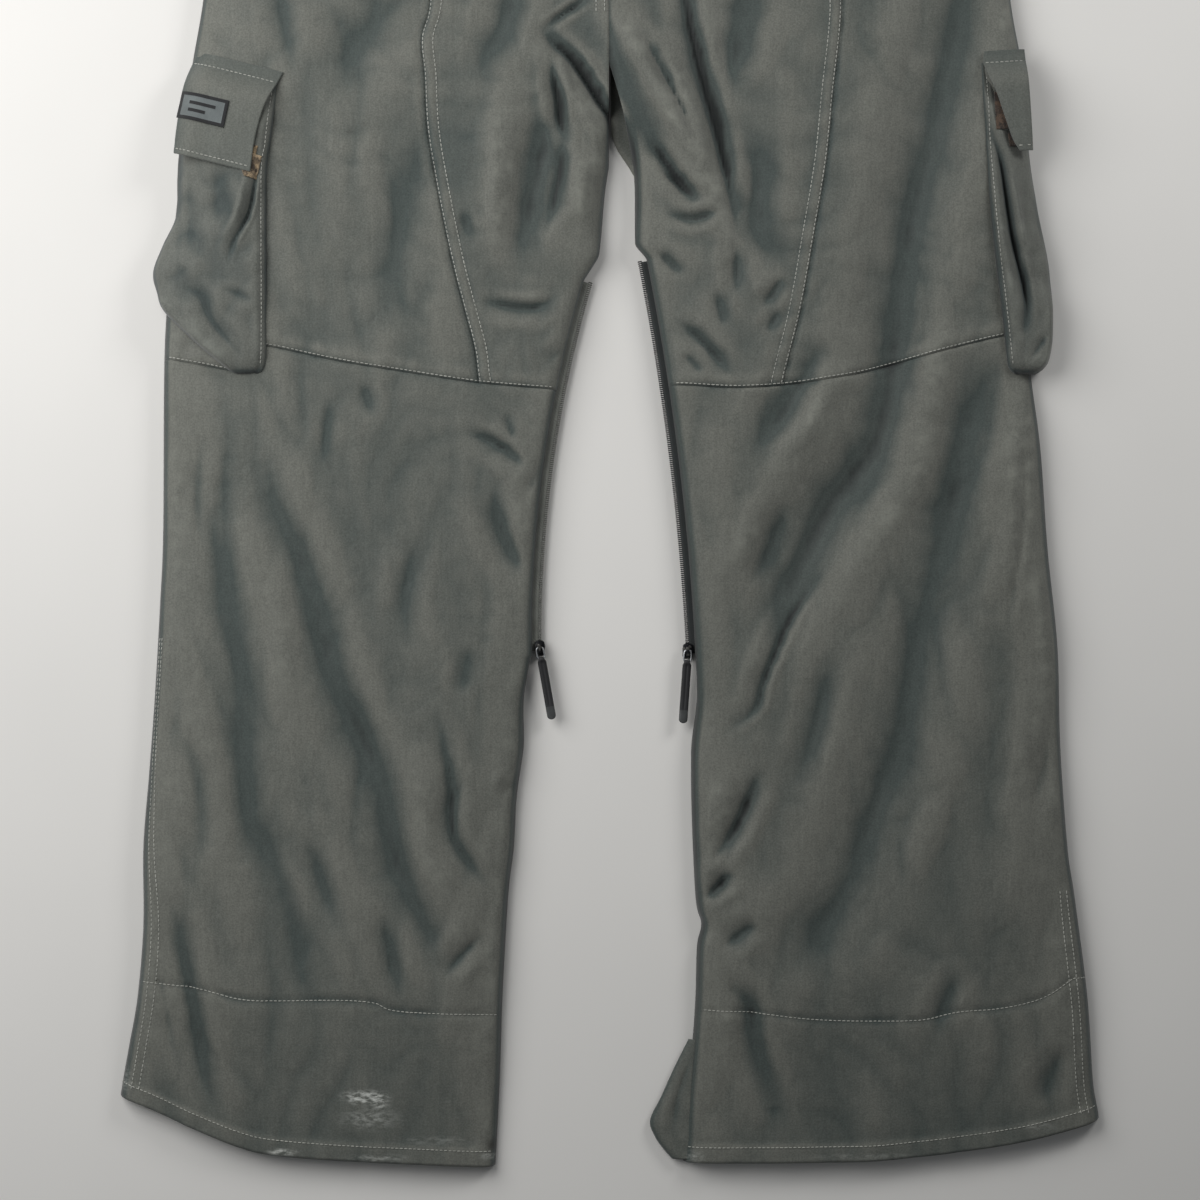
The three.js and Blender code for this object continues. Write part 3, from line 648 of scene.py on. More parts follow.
class Recipe:
    """Builds one material's nodes."""

    def __init__(self, name):
        self.material = bpy.data.materials.new(name)
        self.material.use_nodes = True
        self.tree = self.material.node_tree
        self.tree.nodes.clear()
        self.shader = self.add("ShaderNodeBsdfPrincipled")
        output = self.add("ShaderNodeOutputMaterial")
        self.link(self.shader.outputs["BSDF"], output.inputs["Surface"])
        self.object_place = self.add("ShaderNodeTexCoord").outputs["Object"]

    def link(self, source, target):
        self.tree.links.new(source, target)

    def set(self, target, value):
        if isinstance(value, bpy.types.NodeSocket):
            self.link(value, target)
        elif isinstance(value, (tuple, list)) and len(value) == 3 and target.type == "RGBA":
            target.default_value = (*value, 1)
        else:
            target.default_value = value

    def add(self, kind, settings=None, **inputs):
        node = self.tree.nodes.new(kind)
        for key, value in (settings or {}).items():
            setattr(node, key, value)
        for key, value in inputs.items():
            self.set(node.inputs[key.replace("_", " ")], value)
        return node

    def math(self, operation, a, b=0.0, clamp=False):
        node = self.add("ShaderNodeMath", {"operation": operation, "use_clamp": clamp})
        self.set(node.inputs[0], a)
        self.set(node.inputs[1], b)
        return node.outputs[0]

    def mix(self, factor, a, b, blend="MIX"):
        node = self.add("ShaderNodeMix", {"data_type": "RGBA", "blend_type": blend})
        self.set(node.inputs["Factor"], factor)
        self.set(node.inputs[6], a)
        self.set(node.inputs[7], b)
        return node.outputs[2]

    def range(self, value, low, high, to_low=0.0, to_high=1.0):
        node = self.add("ShaderNodeMapRange")
        for index, item in enumerate((value, low, high, to_low, to_high)):
            self.set(node.inputs[index], item)
        return node.outputs[0]

    def noise(self, scale, detail=3.0, roughness=0.5, kind="FBM", place=None):
        node = self.add(
            "ShaderNodeTexNoise", {"noise_type": kind, "normalize": True},
            Vector=place or self.object_place, Scale=scale, Detail=detail, Roughness=roughness,
        )
        return node.outputs["Fac"]

    def stretched(self, scale, turn=0.0):
        node = self.add("ShaderNodeMapping", Vector=self.object_place, Scale=scale, Rotation=(0, 0, turn))
        return node.outputs["Vector"]

    def wave(self, direction, scale, distortion=0.0):
        node = self.add(
            "ShaderNodeTexWave", {"bands_direction": direction},
            Vector=self.object_place, Scale=scale, Distortion=distortion,
        )
        return node.outputs["Fac"]

    def shaded(self, colour, amount):
        """The colour times a grey amount."""
        grey = self.add("ShaderNodeCombineColor", Red=amount, Green=amount, Blue=amount).outputs[0]
        return self.mix(1.0, colour, grey, "MULTIPLY")

    def bump(self, height, strength, distance, below=None):
        node = self.add("ShaderNodeBump", Height=height, Strength=strength, Distance=distance)
        if below is not None:
            self.link(below, node.inputs["Normal"])
        return node.outputs["Normal"]

    def finish(self, colour, roughness, normal=None, **sockets):
        self.set(self.shader.inputs["Base Color"], colour)
        self.set(self.shader.inputs["Roughness"], roughness)
        if normal is not None:
            self.link(normal, self.shader.inputs["Normal"])
        for key, value in sockets.items():
            self.set(self.shader.inputs[key.replace("_", " ")], value)
        return self.material


def linear(colour):
    """Screen colour, 0 to 255, to linear light."""
    return tuple(
        c / 12.92 if c <= 0.04045 else ((c + 0.055) / 1.055) ** 2.4 for c in (v / 255 for v in colour)
    )


def weave_height(r, pitch):
    """Over-and-under threads, pitch in millimetres."""
    scale = 2 * math.pi / (20 * pitch * MM)
    warp = r.wave("X", scale, 0.6)
    weft = r.wave("Y", scale, 0.6)
    return r.math("MAXIMUM", warp, weft)


def outer_cloth(name, lit, shade, worn=0.5):
    """Dull nylon, olive grey where it faces the light and blue green as painted shade in its furrows and on
    slopes facing away from the key light, near black as painted shadow in deep creases; worn sets how much
    ridges and slopes facing the light turn paler, partly rubbed wear and partly painted highlight.
    """
    r = Recipe(name)
    hollow = r.add("ShaderNodeAttribute", {"attribute_name": "hollow"}).outputs["Fac"]
    crumple = r.noise(75, 6, 0.62, "RIDGED_MULTIFRACTAL", r.stretched((1, 0.7, 1)))
    grain = r.noise(420, 3, 0.6)
    threads = weave_height(r, 0.95)
    normal = r.bump(crumple, 0.17, 0.0011)
    normal = r.bump(grain, 0.25, 0.0003, normal)
    normal = r.bump(threads, 0.30, 0.00022, normal)
    patches = r.noise(9, 4, 0.55)
    # Painted shade: from the shade colour in furrows and on left-facing slopes to the lit colour elsewhere,
    # plus random patches.
    painted_light_mix = r.range(hollow, 0.29, -0.2)
    painted_light_mix = r.math("ADD", painted_light_mix, r.range(patches, 0.3, 0.7, -0.12, 0.12), clamp=True)
    colour = r.mix(painted_light_mix, linear(shade), linear(lit))
    speck = r.range(r.noise(900, 2, 0.5), 0.3, 0.7, 0.8, 1.18)
    slub = r.range(r.noise(480, 2, 0.5, place=r.stretched((1, 0.12, 1))), 0.3, 0.7, 0.94, 1.06)
    speck = r.math("MULTIPLY", speck, slub)
    colour = r.shaded(colour, speck)
    # Painted shadow: near black in the deepest furrows.
    colour = r.mix(r.range(hollow, 0.5, 1.0, 0.0, 0.86), colour, linear((16, 19, 19)))
    # Paler on ridges and on slopes facing the key light, broken by noise: partly rubbed wear, partly painted
    # highlight.
    rubbed = r.math("MULTIPLY", r.range(hollow, -0.22, -0.6), r.range(r.noise(60, 4, 0.6), 0.45, 0.7))
    colour = r.mix(r.math("MULTIPLY", rubbed, worn), colour, linear([min(v * 1.35, 255) for v in lit]))
    wear = r.add("ShaderNodeAttribute", {"attribute_name": "wear"}).outputs["Fac"]
    ragged = r.noise(260, 5, 0.7, place=r.stretched((0.6, 1.6, 1)))
    pale = r.math("MULTIPLY", r.range(wear, 0.05, 1.2), r.range(ragged, 0.42, 0.60))
    colour = r.mix(pale, colour, linear((196, 198, 192)))
    colour = r.mix(r.range(wear, -0.1, -1.4, 0.0, 0.75), colour, linear((38, 34, 28)))
    rough = r.range(r.noise(30, 4, 0.6), 0.3, 0.7, 0.62, 0.76)
    return r.finish(colour, rough, normal, Sheen_Weight=0.25, Sheen_Roughness=0.5, Specular_IOR_Level=0.32)


def thread_material(name, colour):
    r = Recipe(name)
    twist = r.wave("DIAGONAL", 700, 0.4)
    tint = r.range(r.noise(40, 3, 0.5), 0.3, 0.7, 0.72, 1.1)
    shade = r.shaded(linear(colour), tint)
    return r.finish(shade, 0.62, r.bump(twist, 0.4, 0.0001), Sheen_Weight=0.2)


def woven_tape(name, colour, pitch=1.1):
    """Close herringbone tape, for zip tapes, gaiters and linings."""
    r = Recipe(name)
    rib = r.wave("DIAGONAL", 2 * math.pi / (20 * pitch * MM), 0.8)
    wear = r.range(r.noise(55, 4, 0.6), 0.3, 0.75, 0.75, 1.25)
    shade = r.shaded(linear(colour), wear)
    normal = r.bump(rib, 0.5, 0.0003, r.bump(r.noise(120, 4, 0.6), 0.2, 0.0006))
    return r.finish(shade, 0.8, normal, Sheen_Weight=0.15)


def metal_material(name, colour, rubbed, rough=0.38):
    """Painted or bright metal with rubbed spots and fine scratches."""
    r = Recipe(name)
    scratch = r.noise(900, 2, 0.6, place=r.stretched((1, 0.12, 1), 0.5))
    spots = r.range(r.noise(230, 5, 0.65), 0.52, 0.66)
    shade = r.mix(spots, linear(colour), linear(rubbed))
    polish = r.range(scratch, 0.3, 0.7, rough - 0.1, rough + 0.14)
    return r.finish(shade, polish, r.bump(scratch, 0.15, 0.00005), Metallic=0.9)


def plastic_material(name, colour, rough=0.45):
    r = Recipe(name)
    tint = r.range(r.noise(160, 3, 0.6), 0.3, 0.7, 0.75, 1.3)
    shade = r.shaded(linear(colour), tint)
    return r.finish(shade, r.range(r.noise(90, 3, 0.5), 0.3, 0.7, rough - 0.08, rough + 0.1),
                    r.bump(r.noise(1400, 2, 0.5), 0.15, 0.0001), Specular_IOR_Level=0.5)


def pile_material(name, colour, dark):
    """Worn hook or loop pile."""
    r = Recipe(name)
    tuft = r.add("ShaderNodeTexVoronoi", Vector=r.object_place, Scale=1100.0).outputs["Distance"]
    worn = r.range(r.noise(190, 4, 0.6), 0.42, 0.6)
    shade = r.mix(worn, linear(dark), linear(colour))
    normal = r.bump(tuft, 0.8, 0.0005, r.bump(r.noise(300, 3, 0.6), 0.5, 0.0005))
    return r.finish(shade, 0.9, normal, Sheen_Weight=0.3)


def floor_material(name, colour):
    r = Recipe(name)
    cloud = r.range(r.noise(3, 3, 0.5), 0.3, 0.7, 0.97, 1.02)
    shade = r.shaded(linear(colour), cloud)
    return r.finish(shade, 0.82, r.bump(r.noise(420, 3, 0.5), 0.06, 0.0002), Specular_IOR_Level=0.25)


MATERIALS = {}


def fabric_of(key):
    """Makes each material once, when it is first asked for."""
    look = bpy.context.scene.trouser_looks
    makers = {
        "cloth": lambda: outer_cloth("shell cloth", levels(look.cloth_lit), levels(look.cloth_shade)),
        # Waistband: lit colour and painted shade colour, with less painted highlight on its ridges.
        "waist": lambda: outer_cloth("waist cloth", (98, 100, 95), (66, 74, 73), 0.3),
        "thread": lambda: thread_material("stitch thread", levels(look.thread)),
        "lining": lambda: woven_tape("gaiter lining", (58, 62, 63), 1.6),
        "tape": lambda: woven_tape("zip tape", (38, 42, 42), 1.2),
        # Pale copies of the zip for the left leg: painted light, so the zip in the shade at the cloth's edge
        # does not read as a dark band.
        "pale tape": lambda: woven_tape("zip tape lightened against shade", (122, 124, 117), 1.2),
        "pale coil": lambda: plastic_material("zip coil lightened against shade", (104, 106, 100), 0.8),
        # A darker copy of the shell cloth for the bags: painted shade.
        "pocket": lambda: outer_cloth("pocket cloth with painted shade", (95, 97, 91), (60, 68, 66)),
        "coil": lambda: plastic_material("zip coil", (17, 18, 19), 0.7),
        "slider": lambda: metal_material("slider enamel", (38, 39, 42), (120, 118, 112)),
        "wire": lambda: metal_material("bright wire", (176, 178, 180), (120, 120, 118), 0.28),
        "snap": lambda: metal_material("snap metal", (70, 71, 73), (140, 138, 132)),
        "pull": lambda: plastic_material("pull webbing", (24, 24, 26), 0.6),
        "pull tip": lambda: plastic_material("pull tip", (58, 60, 60), 0.5),
        "hook": lambda: pile_material("hook pile", (150, 128, 96), (70, 60, 48)),
        "loop": lambda: pile_material("loop pile", (158, 138, 110), (64, 54, 44)),
        "worn hook": lambda: pile_material("worn hook pile", (86, 68, 54), (40, 33, 28)),
        "label": lambda: woven_tape("label ground", (98, 104, 104), 0.8),
        "label ink": lambda: woven_tape("label border", (20, 21, 23), 0.8),
        "floor": lambda: floor_material("pale floor", levels(look.floor)),
    }
    if key not in MATERIALS:
        MATERIALS[key] = makers[key]()
    return MATERIALS[key]


def levels(colour):
    """A property's linear colour as screen levels, 0 to 255."""
    return [
        255 * (12.92 * c if c <= 0.0031308 else 1.055 * c ** (1 / 2.4) - 0.055) for c in tuple(colour)[:3]
    ]


# ---------------------------------------------------------------- repeats made by Geometry Nodes


def repeat_tree(name):
    """Pieces set along curves: round-ended bars at a pitch, each a little different."""
    tree = bpy.data.node_groups.new(name, "GeometryNodeTree")
    face = tree.interface
    face.new_socket("Geometry", in_out="INPUT", socket_type="NodeSocketGeometry")
    for label, default in (("Pitch", 0.003), ("Length", 0.002), ("Width", 0.0008), ("Depth", 0.0006)):
        face.new_socket(label, in_out="INPUT", socket_type="NodeSocketFloat").default_value = default
    face.new_socket("Unevenness", in_out="INPUT", socket_type="NodeSocketFloat").default_value = 0.1
    face.new_socket("Seed", in_out="INPUT", socket_type="NodeSocketInt").default_value = 7
    face.new_socket("Material", in_out="INPUT", socket_type="NodeSocketMaterial")
    face.new_socket("Geometry", in_out="OUTPUT", socket_type="NodeSocketGeometry")
    new, link = tree.nodes.new, tree.links.new
    entry, leave = new("NodeGroupInput"), new("NodeGroupOutput")
    points = new("GeometryNodeCurveToPoints")
    points.mode = "LENGTH"
    ball = new("GeometryNodeMeshUVSphere")
    ball.inputs["Segments"].default_value = 6
    ball.inputs["Rings"].default_value = 4
    ball.inputs["Radius"].default_value = 0.5
    size = new("ShaderNodeCombineXYZ")
    shape = new("GeometryNodeTransform")
    place = new("GeometryNodeInstanceOnPoints")
    vary = new("FunctionNodeRandomValue")
    vary.data_type = "FLOAT"
    least, most = new("ShaderNodeMath"), new("ShaderNodeMath")
    least.operation, most.operation = "SUBTRACT", "ADD"
    least.inputs[0].default_value = most.inputs[0].default_value = 1.0
    real, paint = new("GeometryNodeRealizeInstances"), new("GeometryNodeSetMaterial")
    link(entry.outputs["Geometry"], points.inputs["Curve"])
    link(entry.outputs["Pitch"], points.inputs["Length"])
    link(entry.outputs["Width"], size.inputs["X"])
    link(entry.outputs["Depth"], size.inputs["Y"])
    link(entry.outputs["Length"], size.inputs["Z"])
    link(ball.outputs["Mesh"], shape.inputs["Geometry"])
    link(size.outputs["Vector"], shape.inputs["Scale"])
    link(entry.outputs["Unevenness"], least.inputs[1])
    link(entry.outputs["Unevenness"], most.inputs[1])
    link(least.outputs[0], vary.inputs[2])
    link(most.outputs[0], vary.inputs[3])
    link(entry.outputs["Seed"], vary.inputs["Seed"])
    link(points.outputs["Points"], place.inputs["Points"])
    link(shape.outputs["Geometry"], place.inputs["Instance"])
    link(points.outputs["Rotation"], place.inputs["Rotation"])
    link(vary.outputs[1], place.inputs["Scale"])
    link(place.outputs["Instances"], real.inputs["Geometry"])
    link(real.outputs["Geometry"], paint.inputs["Geometry"])
    link(entry.outputs["Material"], paint.inputs["Material"])
    link(paint.outputs["Geometry"], leave.inputs["Geometry"])
    return tree


def repeats(name, rows, body, material, slot, nodes=(), **sizes):
    """One mesh of bars along rows of points in garment millimetres; sizes in millimetres."""
    curve = bpy.data.curves.new(name, "CURVE")
    curve.dimensions = "3D"
    for row in rows:
        places = world(np.asarray(row))
        spline = curve.splines.new("POLY")
        spline.points.add(len(places) - 1)
        for point, place in zip(spline.points, places):
            point.co = (*place, 1)
    holder = linked(name + "_path", curve)
    tree = bpy.data.node_groups.get("bars along curves") or repeat_tree("bars along curves")
    modifier = holder.modifiers.new("Bars", "NODES")
    modifier.node_group = tree
    sockets = {s.name: s.identifier for s in tree.interface.items_tree if s.in_out == "INPUT"}
    for key, value in sizes.items():
        if key in ("seed", "unevenness"):
            modifier[sockets[key.title()]] = value
        else:
            modifier[sockets[key.title()]] = value * MM
    modifier[sockets["Material"]] = material
    return declare(meshed(holder, name), body, nodes)


def stitches(name, rows, body="garment"):
    seed = sum(ord(letter) for letter in name) % 97
    return repeats(
        name, rows, body, fabric_of("thread"), "outer_cloth", pitch=3.1, length=2.6,
        width=0.8, depth=0.64, unevenness=0.12, seed=seed,
    )


def raised(points, height, lift):
    """Puts a flat row of points lift millimetres above a surface, height(x, y)."""
    p = np.asarray(points, float)
    return np.column_stack([p[:, 0], p[:, 1], height(p[:, 0], p[:, 1]) + lift])


# ---------------------------------------------------------------- user settings


class TrouserLooks(bpy.types.PropertyGroup):
    cloth_lit: FloatVectorProperty(
        name="Cloth, lit", description="Shell cloth where it faces the light", subtype="COLOR",
        size=3, default=linear((104, 105, 98)), min=0, max=1,
    )
    cloth_shade: FloatVectorProperty(
        name="Cloth, furrows", description="Shell cloth in its furrows", subtype="COLOR",
        size=3, default=linear((64, 72, 69)), min=0, max=1,
    )
    thread: FloatVectorProperty(
        name="Thread", description="Topstitching", subtype="COLOR",
        size=3, default=linear((168, 168, 160)), min=0, max=1,
    )
    floor: FloatVectorProperty(
        name="Floor", description="Pale studio floor", subtype="COLOR",
        size=3, default=linear((226, 224, 220)), min=0, max=1,
    )


class TrouserSizes(bpy.types.PropertyGroup):
    cell: FloatProperty(
        name="Cloth cell", description="Spacing of the cloth's mesh", unit="LENGTH",
        default=0.0021, min=0.001, max=0.01,
    )
    cloth: FloatProperty(
        name="Cloth thickness", description="Padded shell with its lining", unit="LENGTH",
        default=0.0022, min=0.0005, max=0.006,
    )
    pocket_rise: FloatProperty(
        name="Pocket rise", description="How far a cargo pocket stands off the thigh", unit="LENGTH",
        default=0.0085, min=0.002, max=0.015,
    )
    tooth_pitch: FloatProperty(
        name="Zip pitch", description="Spacing of the zip coil's turns", unit="LENGTH",
        default=0.0014, min=0.0008, max=0.004,
    )


def sizes():
    return bpy.context.scene.trouser_sizes


class Maker(bpy.types.Operator):
    """Builds a group of pieces"""

    bl_options = {"REGISTER", "UNDO"}

    def execute(self, context):
        self.build()
        return {"FINISHED"}


# ---------------------------------------------------------------- legs


def ordered(side, a, b):
    """Left line first."""
    return (a, b) if side == "left" else (b, a)


class TROUSERS_OT_legs(Maker):
    """Back and front cloth panels of both legs"""

    bl_idname = "trousers.legs"
    bl_label = "Leg panels"

    def build(self):
        for side in SIDES:
            outer, seam, knee, hem = outer_line[side], seam_line[side], knee_line[side], hem_line[side]
            inner, waist = partial(cloth_inner, side), always(WAIST_SEAM)
            self.back(side, "outer_thigh", outer, seam, knee, waist, 190, 490, (0.20, 0.5), 0.085)
            self.back(side, "inner_thigh", seam, inner, knee, waist, 130, 490, (0.15, 0.5), 0.062)
            self.back(side, "lower_leg", outer, inner, hem, knee, 265, 560, (0.27, 0.56), 0.146)
            self.front(side, "thigh", knee, waist, 300, 490, (0.3, 0.5), 0.138)
            self.front(side, "lower_leg", hem, knee, 265, 560, (0.27, 0.56), 0.144)

    def back(self, side, part, a, b, bottom, top, width, length, flat, area):
        cell = sizes().cell / MM * 1
        left, right = ordered(side, a, b)
        x, y = grid(left, right, bottom, top, round(width / cell), round(length / cell))
        z = back_height(side, x, y)
        piece = sheet_from(f"{side}_back_{part}_cloth", x, y, z, sizes().cloth / MM)
        dress(piece, fabric_of("cloth"))
        declare(piece, "garment", [f"{side}_back_{part}"])

    def front(self, side, part, bottom, top, width, length, flat, area):
        def outer(y):
            return outer_line[side](y) - SIGN[side] * 3.0

        def inner(y):
            gap = np.where(y > CROTCH, 0.3 + 6.0 * step(y, 838, 848), 1.5)
            line = cloth_inner(side, y) * (1 - step(y, 690, 730))
            return line + SIGN[side] * gap

        def low_end(x):
            return bottom(x) + (1.5 if part == "lower_leg" else 0.3)

        def high_end(x):
            return top(x) - (0.3 if part == "lower_leg" else 0)

        left, right = ordered(side, outer, inner)
        x, y = grid(left, right, low_end, high_end, round(width / FRONT_CELL), round(length / FRONT_CELL))
        edge = np.minimum(np.abs(x - left(y)), np.abs(right(y) - x))
        lift = 1.0 * (1 - rounded(edge, 9)) + 0.25 * (1 + noise(x / 40, y / 60, 60))
        top_z = 2.15 + lift
        piece = shell(
            f"{side}_front_{part}_cloth", np.stack([x, y, top_z], -1), np.stack([x, y, lift * 0.9], -1),
        )
        dress(piece, fabric_of("cloth"))
        declare(piece, "garment", [f"{side}_front_{part}"])


class TROUSERS_OT_hems(Maker):
    """Inner gaiters and the gussets in the hem slits"""

    bl_idname = "trousers.hems"
    bl_label = "Gaiters and gussets"

    def build(self):
        for side in SIDES:
            self.gaiter(side)
        self.right_gusset()
        self.left_gusset()

    def gaiter(self, side):
        low, high = garment_box(f"{side}_gaiter")
        half_x, half_z = (high[0] - low[0]) / 2, (high[2] - low[2]) / 2
        mid_x, mid_z = (high[0] + low[0]) / 2, (high[2] + low[2]) / 2
        around, rows = 220, 22
        a = np.linspace(0, 2 * math.pi, around, endpoint=False)
        verts, faces = [], []
        for wall in (0.0, 1.0):
            for row in range(rows + 1):
                t = row / rows
                y = low[1] + (high[1] - low[1]) * t
                gather = 0.42 * np.sin(a * 41) * (1 - t) ** 0.7 + 0.2 * np.sin(a * 17 + 1.3)
                rx = half_x - 0.6 - 1.1 * wall - 0.4 * (1 - t)
                rz = half_z - 1.95 - 1.0 * wall + gather * (0.5 + 0.5 * np.abs(np.sin(a)))
                x = mid_x + rx * np.sign(np.cos(a)) * np.abs(np.cos(a)) ** 0.25
                z = mid_z - 1.2 + rz * np.sign(np.sin(a)) * np.abs(np.sin(a)) ** 0.6
                verts.extend(world(np.column_stack([x, np.full(around, y), z])).tolist())
        layer = (rows + 1) * around
        for row in range(rows):
            for i in range(around):
                j = (i + 1) % around
                a0, a1 = row * around + i, row * around + j
                b0, b1 = a0 + around, a1 + around
                faces.append((a0, b0, b1, a1))
                faces.append((a0 + layer, a1 + layer, b1 + layer, b0 + layer))
        for i in range(around):
            j = (i + 1) % around
            faces.append((i, j, j + layer, i + layer))
            top = rows * around
            faces.append((top + j, top + i, top + i + layer, top + j + layer))
        piece = new_mesh(f"{side}_gaiter_cuff", verts, faces)
        dress(piece, fabric_of("lining"))
        declare(piece, "garment", [f"{side}_gaiter"])

    def right_gusset(self):
        edge = reader([(4, 46), (13, 38), (22, 32), (33, 29), (50, 37), (70, 46), (90, 56)])
        x, y = grid(edge, always(64), always(6), always(90), 30, 70)
        inside = x - edge(y)
        z = 3.6 + 3.4 * rounded(inside, 9) - fold(x, y, 1.6, 4, 4, [(60, 84), (48, 48), (44, 16)])
        z = z + 0.5 * noise(x / 9, y / 14, 71)
        piece = sheet_from("right_hem_gusset_cloth", x, y, z, 1.2)
        dress(piece, fabric_of("cloth"))
        declare(piece, "garment", ["right_hem_gusset"])

    def left_gusset(self):
        left = reader([(4, -93), (66, -93), (86, -84)])
        x, y = grid(left, always(-81), always(6), always(84), 10, 50)
        z = 4.0 + 0.3 * noise(x / 7, y / 12, 72)
        piece = sheet_from("left_hem_gusset_cloth", x, y, z, 1.1)
        dress(piece, fabric_of("cloth"))
        declare(piece, "garment", ["left_hem_gusset"])


# ---------------------------------------------------------------- pockets

BAG = {
    "left": {
        "side": [
            (556, -262), (562, -270), (580, -291), (601, -312), (615, -318), (629, -321), (648, -314),
            (668, -305), (696, -304), (712, -303), (745, -299), (764, -296),
        ],
        "sewn": [(556, -247), (564, -240), (600, -239), (693, -239), (720, -236), (764, -231)],
        "ends": (557, 762),
    },
    "right": {
        "side": [
            (557, 299), (561, 305), (568, 309), (588, 311.5), (630, 310), (672, 302), (710, 296),
            (750, 294), (777, 291),
        ],
        "sewn": [(557, 284), (563, 279), (588, 276), (665, 267), (728, 262), (777, 260)],
        "ends": (557, 774),
    },
}
FLAP = {
    "left": {
        "origin": (-289, 783), "end": (-227, 767),
        "length": 74, "near": [(0, 0), (30, -1.8), (50, 0.5), (74, 4)],
        "far": [(0, 64), (8, 62), (28, 58), (50, 57.5), (74, 60)],
    },
    "right": {
        "origin": (262, 782), "end": (290, 784),
        "length": 72, "near": [(0, 0), (8, -1.5), (20, 1.5), (31, 5.5), (50, 10.5), (64, 14.5), (72, 19)],
        "far": [(0, 28.5), (40, 28.5), (72, 28)],
    },
}


def bag_height(side, x, y):
    """Top of a pocket bag: the thigh, plus a soft pillow inside the bag's outline."""
    shape = BAG[side]
    edge, sewn = reader(shape["side"]), reader(shape["sewn"])
    from_side = np.maximum(SIGN[side] * (edge(y) - x), 0)
    from_sewn = np.maximum(SIGN[side] * (x - sewn(y)), 0)
    from_end = np.maximum(y - shape["ends"][0], 0)
    thigh = crown(side, np.clip(x, -300, 290), y)
    rise = sizes().pocket_rise / MM
    top = shape["ends"][1]
    puff = rounded(from_sewn, 9) * rounded(from_end, 24 if side == "left" else 10)
    puff = puff * (1 - 0.85 * step(y, top - 34, top))
    rolled = 0.6 * rounded(from_side, 9) + 0.4 * rounded(from_side, 40)
    sharp = 0.3 + 0.7 * rounded(from_side, 5)
    shoulder = rolled + (sharp - rolled) * step(-y, -624, -600)
    z = thigh + 0.9 + rise * puff
    z = 2.0 + (z - 2.0) * shoulder
    for entry in POCKET_FOLDS[side]:
        z = z + fold(x, y, *entry) * step(from_sewn, -1, 5)
    z = z + (0.9 * creased(x / 19, y / 24, 81) + 0.4 * noise(x / 9, y / 12, 82)) * step(from_side, 0, 8)
    z = z - 1.0 * np.exp(-(((from_sewn - 3.2) / 1.6) ** 2))
    return np.maximum(z, 2.0)


def flap_axes(side):
    (ax, ay), (bx, by) = FLAP[side]["origin"], FLAP[side]["end"]
    length = math.hypot(bx - ax, by - ay)
    ux, uy = (bx - ax) / length, (by - ay) / length
    return ax, ay, ux, uy


def on_flap(side, u, s):
    ax, ay, ux, uy = flap_axes(side)
    return ax + ux * u + uy * s, ay + uy * u - ux * s


def flap_height(side, u, s):
    """Top of a flap over the table."""
    x, y = on_flap(side, u, s)
    base = crown(side, np.clip(x, -278, 272), y) + 2.6
    over = base + (sizes().pocket_rise / MM + 1.2) * step(s, 1, 26)
    if side == "left":
        droop = 9.0 * np.clip(1 - u / 16, 0, 2) ** 2
    else:
        droop = 7.0 * np.clip((u - 20) / 14, 0, 2) ** 2
    curl = 0.8 * step(s, 58, 74)
    bend = 0.7 * noise(u / 22, s / 26, 91 if side == "left" else 92)
    dent = -0.5 * np.exp(-(((s - 8.5) / 1.3) ** 2))
    return over - droop - curl + bend + dent


